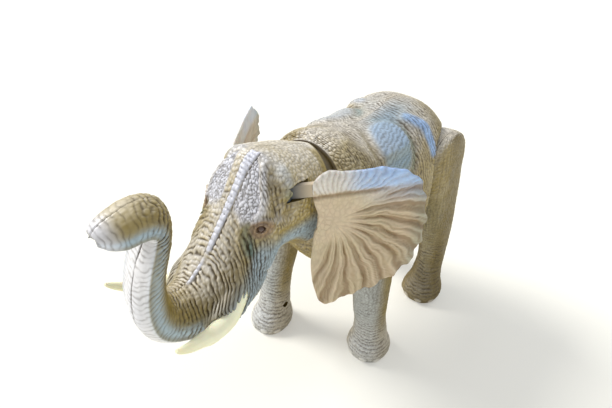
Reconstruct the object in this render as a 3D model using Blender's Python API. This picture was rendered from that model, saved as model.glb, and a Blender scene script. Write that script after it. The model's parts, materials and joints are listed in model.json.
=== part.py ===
"""A large toy African elephant with a raised trunk, moulded in hard plastic.

The torso, the head with its trunk and the four legs are each two hollow shells that meet
along a seam and are held by screws. The head has a hollow ball that turns left and right
inside the torso's collar on an upright pin. The legs swing on pins in flat-floored wells,
and each ear flaps on a pin inside the head.
Metres, +Z up. The elephant faces -Y and its left side is +X. While it is built, the front
feet stand either side of the origin; at the end the whole figure moves so that the origin
is under the middle of its box.
"""

import math

import bmesh
import bpy
import numpy as np
from mathutils import Matrix, Vector

# General clearances and walls
GAP = 0.0003
SEAM = GAP / 2
OVERRUN = 0.002
WALL = 0.002

# Torso
BACK_HEIGHT = 0.200
TORSO_LENGTH = 0.150
TORSO_HALF_WIDTH = 0.050

# What keeps its place on the torso: shares of TORSO_LENGTH behind the neck, then shares of
# BACK_HEIGHT above the ground
neck_height_share = 0.840
front_pivot_shares = (0.220, 0.660)
rear_pivot_shares = (0.800, 0.750)
rear_foot_share = 0.840
tail_seat_shares = (0.950, 0.830)
well_foot_share = 0.250
thigh_flat_share = 0.350
ankle_screw_share = 0.130

# Neck: the head's hollow ball turns in the round collar at the front of the torso
NECK_BACK_SET = 0.019
NECK_HEIGHT = BACK_HEIGHT * neck_height_share
NECK_TILT = math.radians(14)
NECK_GAP = 0.0006
COLLAR_RADIUS = 0.0310
COLLAR_DEPTH = 0.0080
BALL_RADIUS = 0.0290
BALL_SETBACK = 0.0040
BALL_WALL = 0.0025
HEAD_RIM_GAP = 0.0008
HEAD_RIM_RADIUS = 0.0312
HEAD_RIM_ROUND = 0.0025
NECK_PIN_RADIUS = 0.0020
NECK_SOCKET_DEPTH = 0.0020

# Head and trunk: the length and half width follow the height
HEAD_HEIGHT = 0.100
head_length_share = 1.40
head_width_share = 0.36
HEAD_LENGTH = HEAD_HEIGHT * head_length_share
HEAD_HALF_WIDTH = HEAD_HEIGHT * head_width_share

# Tusks
TUSK_LENGTH = 0.050
TUSK_RADIUS = 0.0060
TUSK_SEAT_DEPTH = 0.009
TUSK_BOSS_RADIUS = 0.0090
SHEATH_RISE = 0.0030
SHEATH_SPREAD = 0.0090

# Ears
EAR_RADIUS = 0.065
EAR_THICKNESS = 0.0024
EAR_SPREAD = math.radians(37)
EAR_LEAN = math.radians(8)
EAR_HINGE_DEPTH = 0.0150
EAR_PIN_RADIUS = 0.0015
EAR_PIN_LENGTH = 0.0140
EAR_BARREL_RADIUS = 0.0038
EAR_BARREL_HEIGHT = 0.0100
EAR_TAB_THICKNESS = 0.0030
EAR_TAB_HEIGHT = 0.0085
EAR_TAB_CLEARANCE = 0.0005
EAR_SLOT_WIDTH = 0.0076
EAR_BOSS_RADIUS = 0.0072

# Legs
FRONT_PIVOT_PLACE = TORSO_LENGTH * front_pivot_shares[0] - NECK_BACK_SET
FRONT_PIVOT_HEIGHT = BACK_HEIGHT * front_pivot_shares[1]
REAR_PIVOT_PLACE = TORSO_LENGTH * rear_pivot_shares[0] - NECK_BACK_SET
REAR_PIVOT_HEIGHT = BACK_HEIGHT * rear_pivot_shares[1]
FRONT_HIP_RADIUS = 0.0220
REAR_HIP_RADIUS = 0.0265
LEG_MIDDLE = 0.0420
LEG_HALF_WIDTH = 0.0157
FRONT_STRIDE = 0.018
REAR_FOOT_PLACE = TORSO_LENGTH * rear_foot_share - NECK_BACK_SET
SOLE_THICKNESS = 0.0025
WELL_FLOOR = 0.0260
WELL_CLEARANCE = 0.0015
WELL_FOOT = BACK_HEIGHT * well_foot_share
FRONT_WELL_FORE_FLARE = 0.004
FRONT_WELL_REAR_FLARE = 0.006
REAR_WELL_FORE_FLARE = 0.007
REAR_WELL_REAR_FLARE = 0.030
REAR_WELL_TOP = math.radians(60)
HIP_PIN_RADIUS = 0.0047
HIP_PIN_LENGTH = 0.0160
HIP_BOSS_RADIUS = 0.0070
HIP_FLANGE_RADIUS = 0.0080
HIP_FLANGE_THICKNESS = 0.0022
THIGH_FLAT_HEIGHT = BACK_HEIGHT * thigh_flat_share
ANKLE_SCREW_HEIGHT = BACK_HEIGHT * ankle_screw_share
ANKLE_SCREW_DEPTH = 0.0070
ANKLE_SHAFT_LENGTH = 0.0150

# Tail
TAIL_LENGTH = 0.085
TAIL_RADIUS = 0.0032
TAIL_SEAT_PLACE = TORSO_LENGTH * tail_seat_shares[0] - NECK_BACK_SET
TAIL_HEIGHT = BACK_HEIGHT * tail_seat_shares[1]
TAIL_PEG_RADIUS = 0.0018
TAIL_PEG_LENGTH = 0.0050

# Screws
SCREW_SHAFT_RADIUS = 0.0015
SCREW_SHAFT_LENGTH = 0.0200
SCREW_HEAD_RADIUS = 0.00245
SCREW_HEAD_HEIGHT = 0.0022
SCREW_HEAD_PLACE = 0.0120
BOSS_RADIUS = 0.0050

SIDES = {"left": 1, "right": -1}
X_AXIS = Vector((1, 0, 0))
Y_AXIS = Vector((0, 1, 0))
Z_AXIS = Vector((0, 0, 1))
NECK_PLACE = Vector((0, -NECK_BACK_SET, NECK_HEIGHT))
NECK_AXIS = Vector((0, -math.cos(NECK_TILT), math.sin(NECK_TILT)))
NECK_UP = Vector((0, math.sin(NECK_TILT), math.cos(NECK_TILT)))
BALL_CENTRE = NECK_PLACE - NECK_AXIS * BALL_SETBACK

# Steps round half a section
SKIN_POINTS = 11
LEG_POINTS = 7
CORE_POINTS = 7
LEG_CORE_POINTS = 5


def smooth_rows(rows, steps):
    """Rows of values on a smooth curve through the given rows, with steps to each span."""
    rows = np.array(rows, float)
    padded = np.vstack([2 * rows[0] - rows[1], rows, 2 * rows[-1] - rows[-2]])
    out = []
    for a, b, c, d in zip(padded, padded[1:], padded[2:], padded[3:]):
        for k in range(steps):
            t = k / steps
            out.append(0.5 * (2 * b + (c - a) * t + (2 * a - 5 * b + 4 * c - d) * t ** 2
                              + (3 * b - a - 3 * c + d) * t ** 3))
    out.append(rows[-1])
    return np.array(out)


def oval_ring(top, bottom, half_width, squareness, twist=0.0, sweep=0.0, right_width=None,
              count=SKIN_POINTS, inset=0.0):
    """An oval section through a top and a bottom point, smaller all round by the inset.

    Twist turns the oval in its plane, sweep carries its sides forward along the neck in
    proportion to their reach, and its right side can have a width of its own.
    """
    top, bottom = Vector(top), Vector(bottom)
    middle = (top + bottom) / 2
    up = (top - bottom).normalized()
    height = (top - bottom).length / 2 - inset
    points = []
    for k in range(2 * count):
        turn = math.pi * k / count
        on_right = right_width is not None and k > count
        width = (right_width if on_right else half_width) - inset
        angle = math.atan2(width * math.sin(turn), height * math.cos(turn))
        radius = (abs(math.sin(angle - twist) / width) ** squareness
                  + abs(math.cos(angle - twist) / height) ** squareness) ** (-1 / squareness)
        reach = radius * math.sin(angle)
        points.append(middle + up * radius * math.cos(angle) + X_AXIS * reach
                      + NECK_AXIS * sweep * abs(reach))
    return points


def ball_ring(ahead, radius, sweep=0.0, on_ball=True, count=SKIN_POINTS):
    """A ring on a ball about the neck's centre, or on a round rim before it.

    Ahead is its distance along the neck from the ball's centre at the seam, and sweep
    carries its sides further forward.
    """
    points = []
    for k in range(2 * count):
        angle = math.pi * k / count
        lean = sweep * abs(math.sin(angle))
        reach = radius
        if on_ball:
            square = (1 + lean ** 2) * (radius ** 2 - ahead ** 2) + (ahead * lean) ** 2
            reach = (math.sqrt(square) - ahead * lean) / (1 + lean ** 2)
        points.append(BALL_CENTRE + NECK_UP * reach * math.cos(angle) + X_AXIS * reach * math.sin(angle)
                      + NECK_AXIS * (ahead + lean * reach))
    return points


def new_object(name, mesh):
    mesh_object = bpy.data.objects.new(name, mesh)
    bpy.context.scene.collection.objects.link(mesh_object)
    return mesh_object


def loft(name, rings):
    """A closed solid through rings of points, with flat ends."""
    shape = bmesh.new()
    rows = [[shape.verts.new(point) for point in ring] for ring in rings]
    for near, far in zip(rows, rows[1:]):
        for k, corner in enumerate(near):
            following = (k + 1) % len(near)
            shape.faces.new((corner, near[following], far[following], far[k]))
    shape.faces.new(rows[0])
    shape.faces.new(list(reversed(rows[-1])))
    bmesh.ops.recalc_face_normals(shape, faces=shape.faces)
    mesh = bpy.data.meshes.new(name)
    shape.to_mesh(mesh)
    shape.free()
    return new_object(name, mesh)


def turned(name, start, axis, profile, count=20):
    """A round solid along an axis, through (distance, radius) pairs from its start point."""
    axis = Vector(axis).normalized()
    first = axis.orthogonal().normalized()
    second = axis.cross(first)
    rings = []
    for distance, radius in profile:
        middle = Vector(start) + axis * distance
        rings.append([
            middle + first * radius * math.cos(2 * math.pi * k / count)
            + second * radius * math.sin(2 * math.pi * k / count)
            for k in range(count)
        ])
    return loft(name, rings)


def cylinder(name, start, axis, length, radius, count=20):
    return turned(name, start, axis, [(0, radius), (length, radius)], count)


def prism(name, outline, start, stop):
    """A flat outline of (Y, Z) points drawn out along X."""
    return loft(name, [[Vector((x, y, z)) for y, z in outline] for x in (start, stop)])


def boolean(target, other, operation="DIFFERENCE"):
    modifier = target.modifiers.new(operation.title(), "BOOLEAN")
    modifier.operation = operation
    modifier.solver = "EXACT"
    modifier.object = other
    other.hide_render = True
    other.display_type = "WIRE"


def plastic(name, colour, roughness):
    material = bpy.data.materials.new(name)
    material.use_nodes = True
    shader = material.node_tree.nodes["Principled BSDF"]
    shader.inputs["Base Color"].default_value = (*colour, 1)
    shader.inputs["Roughness"].default_value = roughness
    return material


def steel(name):
    material = plastic(name, (0.55, 0.55, 0.57), 0.35)
    material.node_tree.nodes["Principled BSDF"].inputs["Metallic"].default_value = 1
    return material


def finish(piece, material, pivot=None, carrier=None):
    """Give a piece its material, its smooth shading and, if it moves, the axis that carries it."""
    piece.data.materials.append(material)
    piece.data.shade_smooth()
    piece.data.set_sharp_from_angle(angle=math.radians(40))
    if pivot is not None:
        piece.data.transform(Matrix.Translation(-Vector(pivot)))
        piece.location = pivot
    if carrier is not None:
        piece.parent = carrier
        piece.matrix_parent_inverse = carrier.matrix_world.inverted()


def axis_empty(name, place):
    empty = bpy.data.objects.new(name, None)
    empty.location = place
    empty.empty_display_size = WELL_FLOOR
    bpy.context.scene.collection.objects.link(empty)
    bpy.context.view_layer.update()
    return empty


# Sections of the torso: top place and height, bottom place and height, half width, squareness.
# Places are shares of TORSO_LENGTH behind the neck, heights of BACK_HEIGHT.
torso_shares = [
    (0.100, 1.005, -0.033, 0.580, 0.83, 2.1),
    (0.180, 0.998, 0.047, 0.495, 0.94, 2.2),
    (0.273, 0.985, 0.193, 0.430, 0.99, 2.3),
    (0.407, 0.973, 0.380, 0.385, 1.00, 2.3),
    (0.540, 0.980, 0.540, 0.375, 1.00, 2.3),
    (0.660, 0.995, 0.687, 0.390, 0.97, 2.3),
    (0.767, 0.985, 0.807, 0.430, 0.92, 2.3),
    (0.855, 0.950, 0.900, 0.495, 0.82, 2.2),
    (0.925, 0.890, 0.960, 0.585, 0.66, 2.1),
    (0.975, 0.815, 0.987, 0.680, 0.42, 2.0),
    (0.992, 0.765, 0.994, 0.730, 0.14, 2.0),
]

# Sections of the head and trunk: top place and height, bottom place and height, half width,
# squareness, twist in degrees. Places are shares of HEAD_LENGTH before the neck, heights of
# HEAD_HEIGHT above the middle of the neck.
head_shares = [
    (0.079, 0.370, 0.164, -0.300, 0.870, 2.2, 0),
    (0.171, 0.415, 0.236, -0.220, 0.855, 2.2, 0),
    (0.257, 0.455, 0.307, -0.210, 0.840, 2.1, 0),
    (0.325, 0.458, 0.371, -0.270, 0.806, 1.95, 0),
    (0.371, 0.405, 0.429, -0.370, 0.819, 2.0, 0),
    (0.414, 0.315, 0.479, -0.460, 0.792, 2.05, 0),
    (0.468, 0.210, 0.536, -0.515, 0.736, 2.0, 0),
    (0.521, 0.110, 0.586, -0.540, 0.667, 2.05, 0),
    (0.579, 0.005, 0.629, -0.540, 0.619, 2.1, 2),
    (0.636, -0.085, 0.675, -0.540, 0.550, 2.2, 5),
    (0.690, -0.145, 0.733, -0.530, 0.480, 2.3, 9),
    (0.738, -0.170, 0.805, -0.490, 0.425, 2.4, 13),
    (0.780, -0.155, 0.870, -0.425, 0.400, 2.4, 18),
    (0.806, -0.100, 0.920, -0.330, 0.390, 2.4, 21),
    (0.806, -0.010, 0.942, -0.210, 0.380, 2.4, 22),
    (0.792, 0.090, 0.938, -0.080, 0.375, 2.4, 22),
    (0.767, 0.190, 0.917, 0.040, 0.370, 2.4, 22),
    (0.738, 0.275, 0.885, 0.150, 0.365, 2.4, 22),
    (0.720, 0.350, 0.848, 0.240, 0.360, 2.3, 22),
    (0.730, 0.425, 0.826, 0.285, 0.350, 2.2, 22),
    (0.775, 0.480, 0.836, 0.305, 0.333, 2.2, 22),
    (0.839, 0.500, 0.871, 0.312, 0.319, 2.2, 22),
    (0.907, 0.485, 0.914, 0.325, 0.292, 2.2, 22),
    (0.961, 0.465, 0.954, 0.355, 0.222, 2.1, 22),
    (0.989, 0.440, 0.982, 0.395, 0.125, 2.0, 22),
]

# How far the sides of the head's rear rim stand forward, as shares of their reach sideways
head_rim_sweep_share = 0.36
head_neck_sweep_share = 0.28
# Where the rim's rounding starts, ahead of its edge and inside it, as shares of HEAD_RIM_ROUND
head_rim_round_shares = (0.25, 0.33)
# Rings of the ball behind its middle, and of the bore round it, as shares of BALL_SETBACK
ball_bore_shares = (1.5, 0.5, -0.5, -1.5)
# How far the trunk is hollow, as a share of the head's sections
hollow_share = 0.84

# Places of the screws: along the body as shares of TORSO_LENGTH or HEAD_LENGTH from the neck,
# and up as shares of BACK_HEIGHT or HEAD_HEIGHT.
torso_screw_shares = [(0.440, 0.460), (0.430, 0.910), (0.900, 0.700)]
head_screw_shares = [(0.240, -0.080), (0.460, 0.020)]

# Sections of a leg, from the sole up to the hip: height and rearward bend as shares of the
# pivot's height, then half depth as a share of the hip's radius, outer and inner half widths
# as shares of LEG_HALF_WIDTH, and squareness.
front_leg_shares = [
    (0.000, 0.000, 0.760, 1.02, 1.02, 2.2),
    (0.040, 0.000, 0.800, 1.12, 1.12, 2.2),
    (0.110, 0.000, 0.740, 1.05, 1.05, 2.2),
    (0.200, 0.000, 0.620, 0.88, 0.88, 2.2),
    (0.300, -0.008, 0.575, 0.82, 0.82, 2.2),
    (0.430, -0.020, 0.585, 0.83, 0.85, 2.2),
    (0.580, -0.020, 0.660, 0.84, 0.91, 2.3),
    (0.730, -0.010, 0.800, 0.78, 0.97, 2.4),
    (0.870, 0.000, 0.930, 0.68, 1.00, 2.5),
]
rear_leg_shares = [
    (0.000, 0.000, 0.620, 1.02, 1.02, 2.2),
    (0.040, -0.003, 0.665, 1.12, 1.12, 2.2),
    (0.115, 0.012, 0.600, 1.02, 1.02, 2.2),
    (0.200, 0.035, 0.490, 0.82, 0.82, 2.2),
    (0.300, 0.053, 0.480, 0.75, 0.75, 2.2),
    (0.433, 0.052, 0.550, 0.78, 0.81, 2.2),
    (0.567, 0.036, 0.670, 0.82, 0.90, 2.3),
    (0.700, 0.022, 0.790, 0.78, 0.96, 2.4),
    (0.833, 0.010, 0.905, 0.70, 1.00, 2.5),
    (0.933, 0.000, 0.980, 0.63, 1.00, 2.5),
]
# The domed top of a leg above its pivot: angle up the hip's circle in degrees, then outer and
# inner half widths there as shares of LEG_HALF_WIDTH.
hip_dome_shares = [
    (0, 0.60, 1.00), (25, 0.58, 1.00), (45, 0.53, 0.97), (62, 0.45, 0.90), (76, 0.35, 0.78),
    (84, 0.25, 0.62),
]
hip_squareness = 2.6

# Parts of a tail, from its seat to its tip: reach back and rise as shares of TAIL_LENGTH, and
# radius as a share of TAIL_RADIUS.
tail_shares = [
    (0.00, 0.00, 1.00), (0.11, -0.01, 1.05), (0.17, -0.12, 0.95), (0.18, -0.40, 0.75),
    (0.17, -0.66, 0.60), (0.16, -0.78, 0.75), (0.16, -0.88, 0.90), (0.16, -0.96, 0.40),
]

# Middle line of a tusk: reach forward, outward and up from its root as shares of TUSK_LENGTH,
# and radius as a share of TUSK_RADIUS.
tusk_shares = [
    (-0.150, -0.040, 0.110, 0.98), (0.000, 0.000, 0.000, 1.00), (0.190, 0.050, -0.120, 0.95),
    (0.440, 0.100, -0.115, 0.80), (0.610, 0.150, -0.015, 0.64), (0.780, 0.200, 0.085, 0.46),
    (0.900, 0.230, 0.175, 0.30), (0.950, 0.240, 0.225, 0.14),
]
# Root of a tusk and of an ear: across, ahead of the neck and up, as shares of HEAD_HALF_WIDTH,
# HEAD_LENGTH and HEAD_HEIGHT.
tusk_root_shares = (0.600, 0.583, -0.275)
ear_root_shares = (0.861, 0.200, 0.260)
# Centre of an ear's ribs from its root, along and up its plate, as shares of EAR_RADIUS
ear_centre_shares = (0.185, -0.340)

# Relief of an ear, as shares of EAR_RADIUS: the height of its ribs at the margin, the middle,
# width and height of its rolled top band, and how far its margin lies back
ear_rib_share = 0.020
ear_band_shares = (0.42, 0.13, 0.055)
ear_cup_share = 0.05
# How the rings of an ear's mesh crowd towards its margin
ear_hoop_power = 0.85
# Ribs in a full turn, and the angles between which they lie
EAR_RIBS = 13
ear_rib_angles = (-105, 12)

# Outline of an ear about its rib centre: angle in degrees, radius as a share of EAR_RADIUS.
ear_outline_shares = [
    (-157, 0.150), (-127, 0.300), (-112, 0.540), (-102, 0.800), (-96, 0.975), (-88, 0.970),
    (-77, 0.925), (-64, 0.945), (-52, 0.975), (-38, 1.010), (-24, 0.985), (-8, 0.950),
    (6, 0.920), (20, 0.895), (32, 0.810), (45, 0.690), (60, 0.565), (78, 0.505),
    (95, 0.510), (112, 0.450), (126, 0.280), (144, 0.160), (175, 0.130),
]


def neck_ring_ends(ahead, radius):
    """Top and bottom points of a round ring across the neck, ahead of the collar."""
    middle = NECK_PLACE + NECK_AXIS * ahead
    return middle + NECK_UP * radius, middle - NECK_UP * radius


def torso_sections(steps):
    top, bottom = neck_ring_ends(-SEAM, COLLAR_RADIUS)
    rows = [(top.y, top.z, bottom.y, bottom.z, COLLAR_RADIUS, 2.0)]
    for top_place, top_height, bottom_place, bottom_height, width, squareness in torso_shares:
        rows.append((
            NECK_PLACE.y + TORSO_LENGTH * top_place, BACK_HEIGHT * top_height,
            NECK_PLACE.y + TORSO_LENGTH * bottom_place, BACK_HEIGHT * bottom_height,
            TORSO_HALF_WIDTH * width, squareness,
        ))
    return smooth_rows(rows, steps)


def head_sections(steps):
    """Rows from the rounded rear rim of the head to the tip of the trunk."""
    top, bottom = neck_ring_ends(HEAD_RIM_GAP + HEAD_RIM_ROUND, HEAD_RIM_RADIUS)
    rows = [(top.y, top.z, bottom.y, bottom.z, HEAD_RIM_RADIUS, 2.0, 0, head_neck_sweep_share)]
    for top_place, top_height, bottom_place, bottom_height, width, squareness, twist in head_shares:
        rows.append((
            NECK_PLACE.y - HEAD_LENGTH * top_place, NECK_PLACE.z + HEAD_HEIGHT * top_height,
            NECK_PLACE.y - HEAD_LENGTH * bottom_place, NECK_PLACE.z + HEAD_HEIGHT * bottom_height,
            HEAD_HALF_WIDTH * width, squareness, math.radians(twist), 0,
        ))
    return smooth_rows(rows, steps)


def body_rings(sections, **options):
    rings = []
    for section in sections:
        top = (0, section[0], section[1])
        bottom = (0, section[2], section[3])
        rings.append(oval_ring(top, bottom, *section[4:], **options))
    return rings


def ball_rings():
    """The ball's rings from its open rear edge to the rounded rim of the head."""
    rim = BALL_SETBACK + HEAD_RIM_GAP
    return [
        ball_ring(-BALL_SETBACK, BALL_RADIUS),
        ball_ring(0, BALL_RADIUS),
        ball_ring(rim / 2, BALL_RADIUS, head_rim_sweep_share / 2),
        ball_ring(rim, BALL_RADIUS, head_rim_sweep_share),
        ball_ring(rim + HEAD_RIM_ROUND * head_rim_round_shares[0],
                  HEAD_RIM_RADIUS - HEAD_RIM_ROUND * head_rim_round_shares[1],
                  head_neck_sweep_share, on_ball=False),
    ]


def keep_half(shell, side, middle=0.0):
    """Cut a whole shell along its upright seam, and keep the half on one side of it."""
    depth, height = TORSO_LENGTH * 2, BACK_HEIGHT * 2
    outline = [(-depth, -height), (depth, -height), (depth, height), (-depth, height)]
    boolean(shell, prism(shell.name + "_seam", outline, middle + side * SEAM,
                         middle - side * TORSO_HALF_WIDTH * 2))


def swell_sheath(rings, side):
    """Raise the cheek round the root of a tusk, where its sheath covers the socket."""
    root = Vector(tusk_line(side)[2][:3])
    swollen = []
    for ring in rings:
        middle = sum(ring, Vector()) / len(ring)
        raised = []
        for point in ring:
            rise = SHEATH_RISE * math.exp(-(((point - root).length / SHEATH_SPREAD) ** 2) / 2)
            raised.append(point + (point - middle).normalized() * rise)
        swollen.append(raised)
    return swollen


def screw_boss(cavity, side, place, height):
    """Leave a solid post in a half shell's cavity, from the seam to the outer wall."""
    start = (-side * 2 * OVERRUN, place, height)
    boolean(cavity, cylinder("boss", start, X_AXIS * side, TORSO_HALF_WIDTH * 2, BOSS_RADIUS, 10))


def screw_holes(shell, side, place, height):
    """The bore for one cross screw, with its head's counterbore on the right shell."""
    if side > 0:
        end = SCREW_SHAFT_LENGTH - SCREW_HEAD_PLACE + OVERRUN
        bore = cylinder("screw_bore", (-OVERRUN, place, height), X_AXIS, end + OVERRUN,
                        SCREW_SHAFT_RADIUS + GAP, 10)
        boolean(shell, bore)
        return
    bore = cylinder("screw_bore", (OVERRUN, place, height), -X_AXIS, SCREW_HEAD_PLACE + 2 * OVERRUN,
                    SCREW_SHAFT_RADIUS + GAP, 10)
    boolean(shell, bore)
    recess = cylinder("screw_recess", (GAP - SCREW_HEAD_PLACE, place, height), -X_AXIS, TORSO_HALF_WIDTH,
                      SCREW_HEAD_RADIUS + GAP, 10)
    boolean(shell, recess)


def well_outline(place, height, radius, fore_flare, rear_flare, rear_top, count=12):
    """A round-topped recess about a pivot that widens towards the belly."""
    outline = []
    for k in range(count):
        angle = rear_top + (math.pi - rear_top) * k / (count - 1)
        outline.append((place + radius * math.cos(angle), height + radius * math.sin(angle)))
    outline.append((place - radius - fore_flare, WELL_FOOT))
    outline.append((place + radius + rear_flare, WELL_FOOT))
    if rear_top > 0:
        outline.append((place + radius + rear_flare, height + radius * math.sin(rear_top)))
    return outline


def leg_wells():
    """The pivot, hip radius and flares of the front and the rear well."""
    return (
        (FRONT_PIVOT_PLACE, FRONT_PIVOT_HEIGHT, FRONT_HIP_RADIUS, FRONT_WELL_FORE_FLARE,
         FRONT_WELL_REAR_FLARE, 0),
        (REAR_PIVOT_PLACE, REAR_PIVOT_HEIGHT, REAR_HIP_RADIUS, REAR_WELL_FORE_FLARE,
         REAR_WELL_REAR_FLARE, REAR_WELL_TOP),
    )


def torso_half(name, side):
    shell = loft(name, body_rings(torso_sections(2)))
    lip = ball_ring(BALL_SETBACK - COLLAR_DEPTH, BALL_RADIUS + WALL, count=CORE_POINTS)
    behind = body_rings(torso_sections(1)[2:-1], count=CORE_POINTS, inset=WALL)
    cavity = loft(name + "_cavity", [lip] + behind)
    for share_y, share_z in torso_screw_shares:
        screw_boss(cavity, side, NECK_PLACE.y + TORSO_LENGTH * share_y, BACK_HEIGHT * share_z)
    tail_boss = cylinder(name + "_tail_boss", (0, TAIL_SEAT_PLACE - TAIL_PEG_LENGTH, TAIL_HEIGHT),
                         Y_AXIS, TORSO_LENGTH, TAIL_RADIUS + WALL, 12)
    boolean(cavity, tail_boss)
    for place, height, radius, fore_flare, rear_flare, rear_top in leg_wells():
        spaced = radius + WELL_CLEARANCE
        outline = well_outline(place, height, spaced, fore_flare, rear_flare, rear_top)
        walled = well_outline(place, height, spaced + WALL, fore_flare, rear_flare, rear_top)
        boolean(cavity, prism(name + "_well_wall", walled, side * (WELL_FLOOR - WALL),
                              side * TORSO_HALF_WIDTH * 2))
        boolean(shell, prism(name + "_well", outline, side * WELL_FLOOR, side * TORSO_HALF_WIDTH * 2))
    boolean(shell, cavity)
    keep_half(shell, side)
    for place, height, *_ in leg_wells():
        hip_bore = cylinder(name + "_hip_bore", (side * (WELL_FLOOR - WALL - OVERRUN), place, height),
                            X_AXIS * side, WALL + 2 * OVERRUN, HIP_PIN_RADIUS + GAP, 16)
        boolean(shell, hip_bore)
    ball_bore = loft(name + "_ball_bore", [
        ball_ring(BALL_SETBACK * share, BALL_RADIUS + NECK_GAP)
        for share in ball_bore_shares
    ])
    boolean(shell, ball_bore)
    boolean(shell, neck_pin_bore(name, NECK_GAP + NECK_SOCKET_DEPTH))
    for share_y, share_z in torso_screw_shares:
        screw_holes(shell, side, NECK_PLACE.y + TORSO_LENGTH * share_y, BACK_HEIGHT * share_z)
    boolean(shell, cylinder(name + "_tail_bore", (0, TAIL_SEAT_PLACE - 2 * TAIL_PEG_LENGTH, TAIL_HEIGHT),
                            Y_AXIS, TAIL_PEG_LENGTH * 3, TAIL_PEG_RADIUS + GAP, 10))
    boolean(shell, cylinder(name + "_tail_seat", (0, TAIL_SEAT_PLACE, TAIL_HEIGHT), Y_AXIS, TORSO_LENGTH,
                            TAIL_RADIUS + GAP, 12))
    return shell


def neck_pin_bore(name, past_ball):
    """The bore for the neck pin, which runs past the ball by the given depth at each end."""
    reach = BALL_RADIUS + past_ball
    return cylinder(name + "_neck_bore", BALL_CENTRE - NECK_UP * reach, NECK_UP, reach * 2,
                    NECK_PIN_RADIUS + GAP, 12)


def neck_pin(name):
    reach = BALL_RADIUS + NECK_GAP + NECK_SOCKET_DEPTH - GAP
    return cylinder(name, BALL_CENTRE - NECK_UP * reach, NECK_UP, reach * 2, NECK_PIN_RADIUS, 12)


def head_point(side, shares):
    across, ahead, rise = shares
    return Vector((side * HEAD_HALF_WIDTH * across, NECK_PLACE.y - HEAD_LENGTH * ahead,
                   NECK_PLACE.z + HEAD_HEIGHT * rise))


def ear_frame(side):
    """The ear's root point, the directions along and up its plate, and its front normal."""
    root = head_point(side, ear_root_shares)
    along = Vector((side * math.sin(EAR_SPREAD), math.cos(EAR_SPREAD), 0))
    ahead = Vector((side * math.cos(EAR_SPREAD), -math.sin(EAR_SPREAD), 0))
    normal = ahead * math.cos(EAR_LEAN) + Z_AXIS * math.sin(EAR_LEAN)
    up = -ahead * math.sin(EAR_LEAN) + Z_AXIS * math.cos(EAR_LEAN)
    return root, along, up, normal


def ear_hinge(side):
    root, along, _, _ = ear_frame(side)
    return root - along * EAR_HINGE_DEPTH


def tusk_line(side):
    """Points and radii down the middle of a tusk, from inside its socket to its tip."""
    root = head_point(side, tusk_root_shares)
    rows = []
    for forward, outward, rise, thickness in tusk_shares:
        point = root + Vector((side * outward, -forward, rise)) * TUSK_LENGTH
        rows.append((*point, TUSK_RADIUS * thickness))
    return smooth_rows(rows, 2)


def head_half(name, side):
    shell = loft(name, ball_rings() + swell_sheath(body_rings(head_sections(2)), side))
    rows = head_sections(1)
    inner_radius = BALL_RADIUS - BALL_WALL
    inner_ball = [
        ball_ring(-BALL_SETBACK - OVERRUN, inner_radius, count=CORE_POINTS),
        ball_ring(0, inner_radius, count=CORE_POINTS),
        ball_ring(BALL_SETBACK + HEAD_RIM_GAP, inner_radius, head_rim_sweep_share,
                  count=CORE_POINTS),
    ]
    hollow = rows[:int(len(rows) * hollow_share)]
    cavity = loft(name + "_cavity",
                  inner_ball + body_rings(hollow, count=CORE_POINTS, inset=WALL))
    hinge = ear_hinge(side)
    boss_height = EAR_PIN_LENGTH + 2 * WALL
    boolean(cavity, cylinder(name + "_ear_boss", hinge - Z_AXIS * boss_height / 2, Z_AXIS, boss_height,
                             EAR_BOSS_RADIUS, 12))
    line = tusk_line(side)
    root, inner = Vector(line[2][:3]), Vector(line[0][:3])
    tusk_axis = (root - inner).normalized()
    seat_start = root - tusk_axis * TUSK_SEAT_DEPTH
    boolean(cavity, cylinder(name + "_tusk_boss", seat_start - tusk_axis * WALL, tusk_axis,
                             TUSK_SEAT_DEPTH * 2, TUSK_BOSS_RADIUS, 12))
    for share_y, share_z in head_screw_shares:
        screw_boss(cavity, side, NECK_PLACE.y - HEAD_LENGTH * share_y,
                   NECK_PLACE.z + HEAD_HEIGHT * share_z)
    boolean(shell, cavity)
    keep_half(shell, side)
    boolean(shell, neck_pin_bore(name, OVERRUN))
    for share_y, share_z in head_screw_shares:
        screw_holes(shell, side, NECK_PLACE.y - HEAD_LENGTH * share_y,
                    NECK_PLACE.z + HEAD_HEIGHT * share_z)
    chamber_height = EAR_BARREL_HEIGHT + 2 * GAP
    boolean(shell, cylinder(name + "_ear_chamber", hinge - Z_AXIS * chamber_height / 2, Z_AXIS,
                            chamber_height, EAR_BARREL_RADIUS + GAP, 16))
    pin_bore = EAR_PIN_LENGTH + 2 * GAP
    boolean(shell, cylinder(name + "_ear_pin_bore", hinge - Z_AXIS * pin_bore / 2, Z_AXIS, pin_bore,
                            EAR_PIN_RADIUS + GAP, 12))
    slot_height = EAR_TAB_HEIGHT + 2 * EAR_TAB_CLEARANCE
    boolean(shell, ear_box(name + "_ear_slot", side, EAR_SLOT_WIDTH, slot_height, 0,
                           EAR_HINGE_DEPTH * 2))
    boolean(shell, tusk(name + "_tusk_bore", side, GAP))
    return shell


def ear_box(name, side, width, height, start, stop):
    """A block on the ear's middle line, from start to stop along it from the hinge."""
    hinge = ear_hinge(side)
    _, along, _, _ = ear_frame(side)
    across = along.cross(Z_AXIS)
    rings = []
    for distance in (start, stop):
        middle = hinge + along * distance
        rings.append([
            middle + across * a * width / 2 + Z_AXIS * b * height / 2
            for a, b in ((-1, -1), (1, -1), (1, 1), (-1, 1))
        ])
    return loft(name, rings)


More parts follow.
